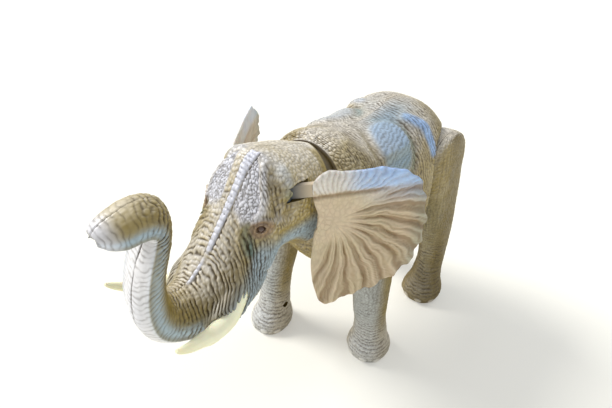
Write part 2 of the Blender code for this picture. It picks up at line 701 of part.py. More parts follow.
def ear(name, side, spokes=34, hoops=5):
    root, along, up, normal = ear_frame(side)
    run_share, rise_share = ear_centre_shares
    middle = root + (along * run_share + up * rise_share) * EAR_RADIUS
    outline = smooth_rows(ear_outline_shares, 8)
    angles = np.linspace(outline[0][0], outline[0][0] + 360, spokes, endpoint=False)
    table_angles = np.append(outline[:, 0], outline[0][0] + 360)
    table_radii = np.append(outline[:, 1], outline[0][1])
    radii = np.interp(angles, table_angles, table_radii) * EAR_RADIUS
    shape = bmesh.new()
    faces = {}
    for face in (1, -1):
        rings = []
        for hoop in range(1, hoops + 1):
            ring = []
            for angle, radius in zip(angles, radii):
                turn = math.radians(angle)
                reach = radius * (hoop / hoops) ** ear_hoop_power
                rise = reach * math.sin(turn)
                run = reach * math.cos(turn)
                lift = ear_relief(angle, reach, rise)
                ring.append(shape.verts.new(middle + along * run + up * rise
                                            + normal * (lift + face * EAR_THICKNESS / 2)))
            rings.append(ring)
        hub = shape.verts.new(middle + normal * (face * EAR_THICKNESS / 2))
        faces[face] = rings
        for k in range(spokes):
            following = (k + 1) % spokes
            shape.faces.new((hub, rings[0][k], rings[0][following]))
            for inner, outer in zip(rings, rings[1:]):
                shape.faces.new((inner[k], outer[k], outer[following], inner[following]))
    for k in range(spokes):
        following = (k + 1) % spokes
        shape.faces.new((faces[1][-1][k], faces[1][-1][following],
                         faces[-1][-1][following], faces[-1][-1][k]))
    bmesh.ops.recalc_face_normals(shape, faces=shape.faces)
    mesh = bpy.data.meshes.new(name)
    shape.to_mesh(mesh)
    shape.free()
    plate = new_object(name, mesh)
    hinge = ear_hinge(side)
    boolean(plate, ear_box(name + "_tab", side, EAR_TAB_THICKNESS, EAR_TAB_HEIGHT, 0,
                           EAR_HINGE_DEPTH + OVERRUN * 2), "UNION")
    boolean(plate, cylinder(name + "_barrel", hinge - Z_AXIS * EAR_BARREL_HEIGHT / 2, Z_AXIS,
                            EAR_BARREL_HEIGHT, EAR_BARREL_RADIUS), "UNION")
    boolean(plate, cylinder(name + "_pin_bore", hinge - Z_AXIS * EAR_BARREL_HEIGHT, Z_AXIS,
                            EAR_BARREL_HEIGHT * 2, EAR_PIN_RADIUS + GAP, 12))
    return plate


def ear_relief(angle, reach, rise):
    """How far the ear's middle surface stands forward: a rolled top band and radiating ribs."""
    share = reach / EAR_RADIUS
    ribs = 0.0
    if ear_rib_angles[0] < angle < ear_rib_angles[1]:
        ribs = ear_rib_share * share ** 2 * math.cos(math.radians(angle) * EAR_RIBS)
    band_middle_share, band_width_share, band_height_share = ear_band_shares
    band = math.exp(-((rise / EAR_RADIUS - band_middle_share) / band_width_share) ** 2)
    band *= band_height_share * min(1, share * 2)
    return EAR_RADIUS * (ribs + band - ear_cup_share * share ** 2)


def tusk(name, side, spare=0.0):
    """A tusk, or with some spare all round it, the socket that seats it."""
    line = tusk_line(side)
    rings = []
    for k, row in enumerate(line):
        point = Vector(row[:3])
        before = Vector(line[max(k - 1, 0)][:3])
        after = Vector(line[min(k + 1, len(line) - 1)][:3])
        forward = (after - before).normalized()
        outward = forward.cross(Z_AXIS).normalized()
        upward = outward.cross(forward)
        radius = row[3] + spare
        if k == 0:
            point -= forward * spare
        rings.append([
            point + outward * radius * math.cos(2 * math.pi * a / 14)
            + upward * radius * math.sin(2 * math.pi * a / 14)
            for a in range(14)
        ])
    return loft(name, rings)


def leg_place(end, side):
    """Place and height of a leg's pivot, its hip radius, and the place of its foot."""
    if end == "front":
        return FRONT_PIVOT_PLACE, FRONT_PIVOT_HEIGHT, FRONT_HIP_RADIUS, FRONT_STRIDE * side
    return REAR_PIVOT_PLACE, REAR_PIVOT_HEIGHT, REAR_HIP_RADIUS, REAR_FOOT_PLACE


def leg_sections(end, side):
    """Rows of height, front, rear, outer and inner half width, and squareness."""
    place, height, radius, foot_place = leg_place(end, side)
    shares = front_leg_shares if end == "front" else rear_leg_shares
    rows = []
    for rise, bend, depth, outer, inner, squareness in shares:
        middle = foot_place + (place - foot_place) * rise + height * bend
        rows.append((height * rise, middle - radius * depth, middle + radius * depth,
                     LEG_HALF_WIDTH * outer, LEG_HALF_WIDTH * inner, squareness))
    for degrees, outer, inner in hip_dome_shares:
        angle = math.radians(degrees)
        rows.append((height + radius * math.sin(angle), place - radius * math.cos(angle),
                     place + radius * math.cos(angle), LEG_HALF_WIDTH * outer,
                     LEG_HALF_WIDTH * inner, hip_squareness))
    return rows


def ankle_place(end, side):
    """Where the ankle screw crosses the middle line of a leg."""
    place, height, _, foot_place = leg_place(end, side)
    return foot_place + (place - foot_place) * ANKLE_SCREW_HEIGHT / height


def leg_half(name, side, end, layer):
    """The outer or inner shell of a leg. Layer is 1 for the outer shell and -1 for the inner."""
    place, height, _, _ = leg_place(end, side)
    facing = side * layer
    middle = side * LEG_MIDDLE
    rings = []
    cores = []
    for rise, front, rear, outer, inner, squareness in leg_sections(end, side):
        if rise > THIGH_FLAT_HEIGHT:
            inner = min(inner, LEG_MIDDLE - WELL_FLOOR - GAP)
        left, right = (outer, inner) if side > 0 else (inner, outer)
        ends = ((middle, front, rise), (middle, rear, rise))
        rings.append(oval_ring(*ends, left, squareness, right_width=right, count=LEG_POINTS))
        cores.append(oval_ring(*ends, left, squareness, right_width=right, count=LEG_CORE_POINTS,
                               inset=WALL))
    shell = loft(name, rings)
    floor = [point + Z_AXIS * SOLE_THICKNESS for point in cores[0]]
    cavity = loft(name + "_cavity", [floor] + cores[2:-2])
    start = middle - facing * 2 * OVERRUN
    screw_place = ankle_place(end, side)
    boolean(cavity, cylinder(name + "_boss", (start, screw_place, ANKLE_SCREW_HEIGHT), X_AXIS * facing,
                             LEG_HALF_WIDTH * 2, BOSS_RADIUS, 10))
    if layer < 0:
        boolean(cavity, cylinder(name + "_hip_boss", (start, place, height), X_AXIS * facing,
                                 LEG_HALF_WIDTH * 2, HIP_BOSS_RADIUS, 14))
    boolean(shell, cavity)
    keep_half(shell, facing, middle)
    bore_length = ANKLE_SHAFT_LENGTH - ANKLE_SCREW_DEPTH + 3 * OVERRUN
    if layer < 0:
        boolean(shell, cylinder(name + "_hip_bore", (start, place, height), X_AXIS * facing,
                                LEG_HALF_WIDTH * 2, HIP_PIN_RADIUS + GAP, 16))
        recess_start = middle + facing * (ANKLE_SCREW_DEPTH - GAP)
        boolean(shell, cylinder(name + "_screw_recess", (recess_start, screw_place, ANKLE_SCREW_HEIGHT),
                                X_AXIS * facing, LEG_HALF_WIDTH * 2, SCREW_HEAD_RADIUS + GAP, 14))
        bore_length = ANKLE_SCREW_DEPTH + 3 * OVERRUN
    boolean(shell, cylinder(name + "_screw_bore", (start, screw_place, ANKLE_SCREW_HEIGHT),
                            X_AXIS * facing, bore_length, SCREW_SHAFT_RADIUS + GAP, 10))
    return shell


def screw(name, start, axis, shaft_length):
    """A screw whose head's underside is at the start point, with a shaft along the axis."""
    axis = Vector(axis)
    return turned(name, Vector(start) - axis * SCREW_HEAD_HEIGHT, axis, [
        (0, SCREW_HEAD_RADIUS), (SCREW_HEAD_HEIGHT, SCREW_HEAD_RADIUS),
        (SCREW_HEAD_HEIGHT, SCREW_SHAFT_RADIUS), (SCREW_HEAD_HEIGHT + shaft_length, SCREW_SHAFT_RADIUS),
    ], 12)


def hip_pin(name, side, place, height):
    flange_start = WELL_FLOOR - WALL - GAP - HIP_FLANGE_THICKNESS
    return turned(name, (side * flange_start, place, height), X_AXIS * side, [
        (0, HIP_FLANGE_RADIUS), (HIP_FLANGE_THICKNESS, HIP_FLANGE_RADIUS),
        (HIP_FLANGE_THICKNESS, HIP_PIN_RADIUS), (HIP_FLANGE_THICKNESS + HIP_PIN_LENGTH, HIP_PIN_RADIUS),
    ], 16)


def tail(name):
    """A hanging tail with a tuft, and the peg that the rear seam holds."""
    seat = Vector((0, TAIL_SEAT_PLACE + GAP, TAIL_HEIGHT))
    rows = [(TAIL_LENGTH * back, TAIL_LENGTH * rise, TAIL_RADIUS * width)
            for back, rise, width in tail_shares]
    peg = [(-TAIL_PEG_LENGTH, 0, TAIL_PEG_RADIUS), (0, 0, TAIL_PEG_RADIUS)]
    rows = peg + list(smooth_rows(rows, 2))
    rings = []
    for k, (back, rise, radius) in enumerate(rows):
        before = rows[max(k - 1, 0)]
        after = rows[min(k + 1, len(rows) - 1)]
        forward = Vector((0, after[0] - before[0], after[1] - before[1])).normalized()
        if k <= len(peg):
            forward = Y_AXIS
        upward = X_AXIS.cross(forward)
        point = seat + Vector((0, back, rise))
        rings.append([
            point + X_AXIS * radius * math.cos(2 * math.pi * a / 10) + upward * radius
            * math.sin(2 * math.pi * a / 10) for a in range(10)
        ])
    return loft(name, rings)


def build_leg(end, word, side, plastics, metal):
    place, height, _, _ = leg_place(end, side)
    pivot = Vector((side * LEG_MIDDLE, place, height))
    axis = axis_empty(f"leg_{end}_{word}_axis", pivot)
    outer = leg_half(f"leg_{end}_{word}_outer", side, end, 1)
    inner = leg_half(f"leg_{end}_{word}_inner", side, end, -1)
    finish(outer, plastics["grey"], pivot, axis)
    finish(inner, plastics["grey"], pivot, axis)
    finish(hip_pin(f"hip_pin_{end}_{word}", side, place, height), plastics["black"], pivot, axis)
    start = Vector((side * (LEG_MIDDLE - ANKLE_SCREW_DEPTH), ankle_place(end, side),
                    ANKLE_SCREW_HEIGHT))
    ankle = screw(f"ankle_screw_{end}_{word}", start, X_AXIS * side, ANKLE_SHAFT_LENGTH)
    finish(ankle, metal, pivot, axis)


def build_head_side(word, side, plastics, head_axis):
    finish(head_half(f"head_{word}_shell", side), plastics["grey"], BALL_CENTRE, head_axis)
    finish(tusk(f"tusk_{word}", side), plastics["ivory"], BALL_CENTRE, head_axis)
    hinge = ear_hinge(side)
    ear_axis = axis_empty(f"ear_{word}_axis", hinge)
    ear_axis.parent = head_axis
    ear_axis.matrix_parent_inverse = head_axis.matrix_world.inverted()
    bpy.context.view_layer.update()
    finish(ear(f"ear_{word}", side), plastics["tan"], hinge, ear_axis)
    pin = cylinder(f"ear_{word}_pin", hinge - Z_AXIS * EAR_PIN_LENGTH / 2, Z_AXIS, EAR_PIN_LENGTH,
                   EAR_PIN_RADIUS, 12)
    finish(pin, plastics["black"], hinge, head_axis)


def build_screws(metal, head_axis):
    for k, (share_y, share_z) in enumerate(torso_screw_shares, 1):
        start = (-SCREW_HEAD_PLACE, NECK_PLACE.y + TORSO_LENGTH * share_y, BACK_HEIGHT * share_z)
        finish(screw(f"body_screw_{k}", start, X_AXIS, SCREW_SHAFT_LENGTH), metal)
    for k, (share_y, share_z) in enumerate(head_screw_shares, 1):
        start = (-SCREW_HEAD_PLACE, NECK_PLACE.y - HEAD_LENGTH * share_y,
                 NECK_PLACE.z + HEAD_HEIGHT * share_z)
        piece = screw(f"head_screw_{k}", start, X_AXIS, SCREW_SHAFT_LENGTH)
        finish(piece, metal, BALL_CENTRE, head_axis)


def stand_on_origin():
    """Move the whole figure so that the origin is under the middle of its box."""
    bpy.context.view_layer.update()
    graph = bpy.context.evaluated_depsgraph_get()
    corners = []
    for piece in bpy.data.objects:
        if piece.type == "MESH" and not piece.hide_render:
            solid = piece.evaluated_get(graph)
            corners += [solid.matrix_world @ Vector(corner) for corner in solid.bound_box]
    corners = np.array(corners)
    low, high = corners.min(axis=0), corners.max(axis=0)
    shift = Vector(((low[0] + high[0]) / 2, (low[1] + high[1]) / 2, low[2]))
    for piece in bpy.data.objects:
        if piece.parent is None:
            piece.location -= shift
    bpy.context.view_layer.update()


def build():
    for old in list(bpy.data.objects):
        bpy.data.objects.remove(old)
    plastics = {
        "grey": plastic("grey_plastic", (0.42, 0.36, 0.31), 0.55),
        "tan": plastic("tan_plastic", (0.55, 0.44, 0.36), 0.55),
        "ivory": plastic("ivory_plastic", (0.85, 0.78, 0.60), 0.4),
        "black": plastic("black_plastic", (0.05, 0.05, 0.05), 0.5),
    }
    metal = steel("screw_steel")
    head_axis = axis_empty("head_turn_axis", BALL_CENTRE)
    finish(neck_pin("neck_pin"), metal)
    for word, side in SIDES.items():
        finish(torso_half(f"body_{word}_shell", side), plastics["grey"])
        build_head_side(word, side, plastics, head_axis)
        for end in ("front", "rear"):
            build_leg(end, word, side, plastics, metal)
    build_screws(metal, head_axis)
    finish(tail("tail"), plastics["grey"])
    stand_on_origin()


build()
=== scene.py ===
# %% [markdown]
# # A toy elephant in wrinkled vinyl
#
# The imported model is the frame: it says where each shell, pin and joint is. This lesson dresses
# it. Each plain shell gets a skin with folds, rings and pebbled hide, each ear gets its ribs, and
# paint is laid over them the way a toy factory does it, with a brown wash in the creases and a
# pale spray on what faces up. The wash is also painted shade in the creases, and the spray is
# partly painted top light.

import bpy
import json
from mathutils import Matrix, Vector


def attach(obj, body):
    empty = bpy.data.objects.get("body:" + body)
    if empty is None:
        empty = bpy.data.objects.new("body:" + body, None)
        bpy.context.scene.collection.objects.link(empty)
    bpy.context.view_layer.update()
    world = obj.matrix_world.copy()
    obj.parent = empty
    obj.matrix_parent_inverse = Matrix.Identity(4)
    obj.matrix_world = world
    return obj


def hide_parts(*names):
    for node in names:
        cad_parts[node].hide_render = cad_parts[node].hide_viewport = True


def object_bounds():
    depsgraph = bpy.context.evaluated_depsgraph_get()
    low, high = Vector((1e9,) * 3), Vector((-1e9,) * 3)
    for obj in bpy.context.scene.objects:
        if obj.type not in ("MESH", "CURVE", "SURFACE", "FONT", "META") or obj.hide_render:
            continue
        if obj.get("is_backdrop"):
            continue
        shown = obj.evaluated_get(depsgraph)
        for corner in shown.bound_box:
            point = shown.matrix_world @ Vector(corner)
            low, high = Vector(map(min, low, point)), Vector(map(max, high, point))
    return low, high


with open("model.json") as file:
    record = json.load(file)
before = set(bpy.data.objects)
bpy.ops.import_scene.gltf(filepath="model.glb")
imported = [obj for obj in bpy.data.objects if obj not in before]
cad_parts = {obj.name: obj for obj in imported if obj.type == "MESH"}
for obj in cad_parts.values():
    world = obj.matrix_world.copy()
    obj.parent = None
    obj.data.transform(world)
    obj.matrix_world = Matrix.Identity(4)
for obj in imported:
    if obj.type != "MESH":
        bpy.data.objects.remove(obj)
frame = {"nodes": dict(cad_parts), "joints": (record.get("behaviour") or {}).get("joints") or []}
cad_box = [list(corner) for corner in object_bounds()]

import json
import math

import bmesh
import bpy
import numpy as np
from mathutils import Matrix, Vector

# %% [markdown]
# ## One set of measures
#
# The skins are drawn in millimetres, about the place between the front feet, because that is how
# the figure's sections were worked out. The head's joint tells how far that place lies from the
# model's own origin, so nothing has to be fitted by eye.

# %% Measures and places
MM = 0.001
SEAM = 0.06
SIDES = {"left": 1, "right": -1}
NECK = np.array([0.0, -19.0, 168.0])
NECK_TILT = math.radians(14)
NECK_AXIS = np.array([0.0, -math.cos(NECK_TILT), math.sin(NECK_TILT)])
NECK_UP = np.array([0.0, math.sin(NECK_TILT), math.cos(NECK_TILT)])
BALL_SETBACK = 4.0
BALL_RADIUS = 29.0
BALL_CENTRE = NECK - NECK_AXIS * BALL_SETBACK
DENSITY = 1.0

joints = {joint["name"]: joint for joint in frame["joints"]}
SHIFT = np.array([0.0, joints["head_turn"]["pos_m"][1] / MM - BALL_CENTRE[1], 0.0])
print("the model's origin is", SHIFT.round(3), "mm from the place between the front feet")

# %% [markdown]
# ## Tools for moving many points at once
#
# Wrinkles are made of thousands of small moves, so they are worked out for all points together.
# Noise gives slow, natural change, and cells give the cracked net of dry hide: each point finds
# the two nearest seeds, and where both are equally near, there is a crack.


# %% Noise, cells, paths and rings
def hashed(cells, seed):
    """A repeatable number from 0 to 1 for each whole-numbered cell."""
    mixed = cells[..., 0] * 374761393 + cells[..., 1] * 668265263 + cells[..., 2] * 1440662683
    mixed = mixed + seed * 974711
    mixed = (mixed ^ (mixed >> 13)) * 1274126177
    mixed = (mixed ^ (mixed >> 15)) * 1911520717
    return ((mixed ^ (mixed >> 16)) & 0xFFFFFF) / 0xFFFFFF


def noise(points, size, seed=0):
    """Smooth noise from -1 to 1, with bumps about the given size apart."""
    scaled = points / size + seed * 7.31
    cell = np.floor(scaled).astype(np.int64)
    part = scaled - cell
    ease = part ** 3 * (part * (part * 6 - 15) + 10)
    total = np.zeros(len(points))
    for corner in np.ndindex(2, 2, 2):
        weight = np.prod(np.where(np.array(corner) == 1, ease, 1 - ease), axis=1)
        total += weight * hashed(cell + np.array(corner), seed)
    return total * 2 - 1


def cracks(points, size, seed=0):
    """1 on the cracks between cells of about the given size, and 0 in their middles."""
    scaled = points / size + seed * 3.77
    cell = np.floor(scaled).astype(np.int64)
    first = np.full(len(points), 9.0)
    second = np.full(len(points), 9.0)
    for step in np.ndindex(3, 3, 3):
        place = cell + np.array(step) - 1
        seeds = np.stack([hashed(place, seed + k) for k in (11, 23, 37)], axis=1)
        gap = np.sqrt(((place + seeds - scaled) ** 2).sum(axis=1))
        second = np.minimum(second, np.maximum(first, gap))
        first = np.minimum(first, gap)
    return np.clip(1 - (second - first) / 0.35, 0, 1)


def blob(points, centre, radius):
    """1 at a centre, fading over the radius. The radius can differ along X, Y and Z."""
    return np.exp(-(((points - np.array(centre)) / np.array(radius)) ** 2).sum(axis=1))


def path_gap(points, path):
    """Distance to a line through the given places."""
    path = np.array(path, float)
    best = np.full(len(points), 1e9)
    for start, stop in zip(path, path[1:]):
        run = stop - start
        share = np.clip((points - start) @ run / (run @ run), 0, 1)
        best = np.minimum(best, ((points - start - share[:, None] * run) ** 2).sum(axis=1))
    return np.sqrt(best)


def near_path(points, path, radius):
    return np.exp(-(path_gap(points, path) / radius) ** 2)


def groove(phase, width):
    """1 in a groove at each whole number of the phase, fading over a share of the period."""
    return np.exp(-((phase - np.round(phase)) / width) ** 2)


def between(values, low, high):
    """0 below low, 1 above high, and a smooth rise between them."""
    share = np.clip((values - low) / (high - low), 0, 1)
    return share * share * (3 - 2 * share)


# %% [markdown]
# ## Drawing a skin from sections
#
# The head, the torso and the legs of the toy are long rounded forms. Each is drawn as a row of
# oval sections from one end to the other, and half of each oval makes one moulded shell. The rows
# are put a fraction of a millimetre apart, so that a fold 1 mm wide has points to bend. A
# primitive can't give this, so the mesh is made from its rows of points.


# %% Sections
def smooth_rows(rows, steps):
    """Rows of values on a smooth curve through the given rows, with steps to each span."""
    rows = np.array(rows, float)
    padded = np.vstack([2 * rows[0] - rows[1], rows, 2 * rows[-1] - rows[-2]])
    out = []
    for a, b, c, d in zip(padded, padded[1:], padded[2:], padded[3:]):
        for k in range(steps):
            t = k / steps
            out.append(0.5 * (2 * b + (c - a) * t + (2 * a - 5 * b + 4 * c - d) * t ** 2
                              + (3 * b - a - 3 * c + d) * t ** 3))
    out.append(rows[-1])
    return np.array(out)


def spaced_sections(rows, spacing):
    """Sections a set distance apart along their middles, with that distance for each."""
    fine = smooth_rows(rows, 40)
    tops = np.hypot(np.diff(fine[:, 0]), np.diff(fine[:, 1]))
    bottoms = np.hypot(np.diff(fine[:, 2]), np.diff(fine[:, 3]))
    along = np.concatenate([[0], np.cumsum(np.maximum(tops, bottoms) * 0.5 + (tops + bottoms) * 0.25)])
    count = int(along[-1] / spacing) + 1
    wanted = np.linspace(0, along[-1], count)
    return np.stack([np.interp(wanted, along, column) for column in fine.T], axis=1), wanted


def evenly(points, count):
    """The same line with its points evenly spaced, and the share of the way for each."""
    run = np.concatenate([[0], np.cumsum(np.linalg.norm(np.diff(points, axis=0), axis=1))])
    share = np.linspace(0, 1, count)
    return np.stack([np.interp(share * run[-1], run, column) for column in points.T], axis=1), share


def half_oval(top, bottom, width, squareness, side, count, twist=0.0, sweep=0.0, middle=0.0):
    """Half an oval on one side of the seam, from its top point to its bottom point."""
    top, bottom = np.array(top, float), np.array(bottom, float)
    centre = (top + bottom) / 2
    height = np.linalg.norm(top - bottom) / 2
    up = (top - bottom) / (2 * height)
    turn = side * np.linspace(0, math.pi, 90)
    angle = np.arctan2(width * np.sin(turn), height * np.cos(turn))
    radius = (np.abs(np.sin(angle - twist) / width) ** squareness
              + np.abs(np.cos(angle - twist) / height) ** squareness) ** (-1 / squareness)
    reach = radius * np.sin(angle)
    points = centre + np.outer(radius * np.cos(angle), up) + np.outer(np.abs(reach) * sweep, NECK_AXIS)
    points[:, 0] = middle + reach
    return evenly(points, count)


def ball_arc(ahead, radius, side, count, sweep=0.0, on_ball=True):
    """Half a ring on the neck's ball, or on the rim before it."""
    turn = side * np.linspace(0, math.pi, 90)
    lean = sweep * np.abs(np.sin(turn))
    reach = np.full(len(turn), radius)
    if on_ball:
        square = (1 + lean ** 2) * (radius ** 2 - ahead ** 2) + (ahead * lean) ** 2
        reach = (np.sqrt(square) - ahead * lean) / (1 + lean ** 2)
    points = (BALL_CENTRE + np.outer(reach * np.cos(turn), NECK_UP)
              + np.outer(ahead + lean * reach, NECK_AXIS))
    points[:, 0] = reach * np.sin(turn)
    return evenly(points, count)


# %% A closed half shell from its rows
def strip(first, second, faces):
    """Faces between two rows of point numbers, which may hold different numbers of points."""
    a = b = 0
    while a < len(first) - 1 or b < len(second) - 1:
        if len(first) == len(second):
            faces.append((first[a], first[a + 1], second[b + 1], second[b]))
            a, b = a + 1, b + 1
        elif b == len(second) - 1 or (a < len(first) - 1
                                      and (a + 1) / (len(first) - 1) <= (b + 1) / (len(second) - 1)):
            faces.append((first[a], first[a + 1], second[b]))
            a += 1
        else:
            faces.append((first[a], second[b + 1], second[b]))
            b += 1


class Skin:
    """A half shell's outer surface: its points in mm, and what is known about each of them."""

    def __init__(self, side, middle=0.0):
        self.side = side
        self.seam = middle + side * SEAM
        self.rows, self.along, self.round, self.loose = [], [], [], []

    def add(self, arc, along, loose=1.0):
        """Add a row of points. Loose is 0 where the surface has to keep its place."""
        points, share = arc
        self.rows.append(points)
        self.along.append(np.full(len(points), along))
        self.round.append(share)
        self.loose.append(np.full(len(points), loose))

    def close(self):
        """Join the rows into a closed solid, flat along the seam."""
        starts = np.cumsum([0] + [len(row) for row in self.rows])
        numbers = [list(range(a, b)) for a, b in zip(starts, starts[1:])]
        self.points = np.concatenate(self.rows)
        self.along, self.round = np.concatenate(self.along), np.concatenate(self.round)
        self.loose = np.concatenate(self.loose)
        self.ends = np.array([n for row in numbers for n in (row[0], row[-1])])
        self.points[self.ends, 0] = self.seam
        faces = []
        for first, second in zip(numbers, numbers[1:]):
            strip(first, second, faces)
            faces.append((first[0], second[0], second[-1], first[-1]))
        faces.append(tuple(reversed(numbers[0])))
        faces.append(tuple(numbers[-1]))
        self.mesh = bpy.data.meshes.new("skin")
        self.mesh.from_pydata(self.points.tolist(), [], faces)
        shape = bmesh.new()
        shape.from_mesh(self.mesh)
        bmesh.ops.recalc_face_normals(shape, faces=shape.faces)
        shape.to_mesh(self.mesh)
        shape.free()

    def normals(self):
        found = np.zeros(len(self.points) * 3)
        self.mesh.vertices.foreach_get("normal", found)
        found = found.reshape(-1, 3)
        found[self.ends, 0] = 0
        length = np.linalg.norm(found, axis=1)
        return found / np.maximum(length, 1e-6)[:, None]

    def mirrored(self):
        """The points as if on the left side, so that both sides share one set of places."""
        return self.points * np.array([self.side, 1, 1])

    def push(self, lift):
        """Move the points in or out along their normals, and keep the seam flat."""
        self.points = self.points + self.normals() * (lift * self.loose)[:, None]
        self.points[self.ends, 0] = self.seam
        self.mesh.vertices.foreach_set("co", self.points.ravel())
        self.mesh.update()


print("tools ready, density", DENSITY)

# %% [markdown]
# ## Cutting and joining
#
# The wells, sockets and screw holes are cut after the skin is done, as the mould would leave
# them. The cutters are primitives at their places, and the modifier is applied.


# %% Cutters
def deselect():
    for item in list(bpy.context.selected_objects):
        item.select_set(False)


def activate(item):
    deselect()
    item.select_set(True)
    bpy.context.view_layer.objects.active = item


def place_points(points):
    """Places in mm as places in the model, in metres."""
    return (np.asarray(points, float) + SHIFT) * MM


def point_normals(piece):
    found = np.zeros(len(piece.data.vertices) * 3)
    piece.data.vertices.foreach_get("normal", found)
    return found.reshape(-1, 3)


def keep_paint(piece, colour):
    """Write a colour for each point, which the cuts that follow leave in place."""
    mark = piece.data.attributes.new("paint", "FLOAT_COLOR", "POINT")
    mark.data.foreach_set("color", np.hstack([colour, np.ones((len(colour), 1))]).ravel())
    painted = piece.data.attributes.new("painted", "FLOAT", "POINT")
    painted.data.foreach_set("value", np.ones(len(colour)))


def new_piece(name, points, faces, smooth=True):
    mesh = bpy.data.meshes.new(name)
    mesh.from_pydata(place_points(points).tolist(), [], faces)
    shape = bmesh.new()
    shape.from_mesh(mesh)
    bmesh.ops.recalc_face_normals(shape, faces=shape.faces)
    shape.to_mesh(mesh)
    shape.free()
    if smooth:
        mesh.shade_smooth()
    piece = bpy.data.objects.new(name, mesh)
    bpy.context.scene.collection.objects.link(piece)
    return piece


def rod(start, axis, length, radius, count=32):
    """A cylinder from a start place along an axis, in mm, with its place in its mesh."""
    axis = Vector(axis).normalized()
    middle = Vector(place_points(start)) + axis * length * MM / 2
    deselect()
    bpy.ops.mesh.primitive_cylinder_add(vertices=count, radius=radius * MM, depth=length * MM,
                                        location=middle,
                                        rotation=axis.to_track_quat("Z", "Y").to_euler())
    piece = bpy.context.active_object
    bpy.ops.object.transform_apply(location=True, rotation=True, scale=True)
    return piece


def prism(outline, start, stop):
    """A flat outline of (Y, Z) points drawn out along X."""
    count = len(outline)
    points = [(x, y, z) for x in (start, stop) for y, z in outline]
    faces = [tuple(range(count)), tuple(range(count, 2 * count))]
    faces += [(k, (k + 1) % count, (k + 1) % count + count, k + count) for k in range(count)]
    return new_piece("cutter", points, faces, smooth=False)


def whole(rows):
    """A closed solid through rings of points."""
    count = len(rows[0])
    points = np.concatenate(rows)
    faces = []
    for k in range(len(rows) - 1):
        for j in range(count):
            following = (j + 1) % count
            faces.append((k * count + j, k * count + following, (k + 1) * count + following,
                          (k + 1) * count + j))
    faces += [tuple(range(count)), tuple(range(len(points) - count, len(points)))]
    return new_piece("solid", points, faces, smooth=False)


def combine(target, other, operation="DIFFERENCE"):
    activate(target)
    modifier = target.modifiers.new("cut", "BOOLEAN")
    modifier.solver = "MANIFOLD"
    modifier.operation = operation
    modifier.object = other
    bpy.ops.object.modifier_apply(modifier="cut")
    bpy.data.objects.remove(other)


print("cutters ready")

# %% [markdown]
# ## The sections of the head and the torso
#
# These tables give each section's top and bottom points, half width and squareness. They are
# shares of the head's or the torso's length and height, as in the model underneath, so the skin
# lies where the solid does.

# %% Sections of the torso and head
TORSO = {"length": 150.0, "height": 200.0, "width": 50.0}
torso_shares = [
    (0.100, 1.005, -0.033, 0.580, 0.83, 2.1), (0.180, 0.998, 0.047, 0.495, 0.94, 2.2),
    (0.273, 0.985, 0.193, 0.430, 0.99, 2.3), (0.407, 0.973, 0.380, 0.385, 1.00, 2.3),
    (0.540, 0.980, 0.540, 0.375, 1.00, 2.3), (0.660, 0.995, 0.687, 0.390, 0.97, 2.3),
    (0.767, 0.985, 0.807, 0.430, 0.92, 2.3), (0.855, 0.950, 0.900, 0.495, 0.82, 2.2),
    (0.925, 0.890, 0.960, 0.585, 0.66, 2.1), (0.975, 0.815, 0.987, 0.680, 0.42, 2.0),
    (0.992, 0.765, 0.994, 0.730, 0.14, 2.0),
]
HEAD = {"length": 140.0, "height": 100.0, "width": 36.0}
head_shares = [
    (0.079, 0.370, 0.164, -0.300, 0.870, 2.2, 0), (0.171, 0.415, 0.236, -0.220, 0.855, 2.2, 0),
    (0.257, 0.455, 0.307, -0.210, 0.840, 2.1, 0), (0.325, 0.458, 0.371, -0.270, 0.806, 1.95, 0),
    (0.371, 0.405, 0.429, -0.370, 0.819, 2.0, 0), (0.414, 0.315, 0.479, -0.460, 0.792, 2.05, 0),
    (0.468, 0.210, 0.536, -0.515, 0.736, 2.0, 0), (0.521, 0.110, 0.586, -0.540, 0.667, 2.05, 0),
    (0.579, 0.005, 0.629, -0.540, 0.619, 2.1, 2), (0.636, -0.085, 0.675, -0.540, 0.550, 2.2, 5),
    (0.690, -0.145, 0.733, -0.530, 0.480, 2.3, 9), (0.738, -0.170, 0.805, -0.490, 0.425, 2.4, 13),
    (0.780, -0.155, 0.870, -0.425, 0.400, 2.4, 18), (0.806, -0.100, 0.920, -0.330, 0.390, 2.4, 21),
    (0.806, -0.010, 0.942, -0.210, 0.380, 2.4, 22), (0.792, 0.090, 0.938, -0.080, 0.375, 2.4, 22),
    (0.767, 0.190, 0.917, 0.040, 0.370, 2.4, 22), (0.738, 0.275, 0.885, 0.150, 0.365, 2.4, 22),
    (0.720, 0.350, 0.848, 0.240, 0.360, 2.3, 22), (0.730, 0.425, 0.826, 0.285, 0.350, 2.2, 22),
    (0.775, 0.480, 0.836, 0.305, 0.333, 2.2, 22), (0.839, 0.500, 0.871, 0.312, 0.319, 2.2, 22),
    (0.907, 0.485, 0.914, 0.325, 0.292, 2.2, 22), (0.961, 0.465, 0.954, 0.355, 0.222, 2.1, 22),
    (0.989, 0.440, 0.982, 0.395, 0.125, 2.0, 22),
]
COLLAR_RADIUS = 31.0
RIM_GAP, RIM_RADIUS, RIM_ROUND = 0.8, 31.2, 2.5
RIM_SWEEP, NECK_SWEEP = 0.36, 0.28


def neck_row(ahead, radius, *rest):
    middle = NECK + NECK_AXIS * ahead
    top, bottom = middle + NECK_UP * radius, middle - NECK_UP * radius
    return (top[1], top[2], bottom[1], bottom[2], radius, 2.0, *rest)


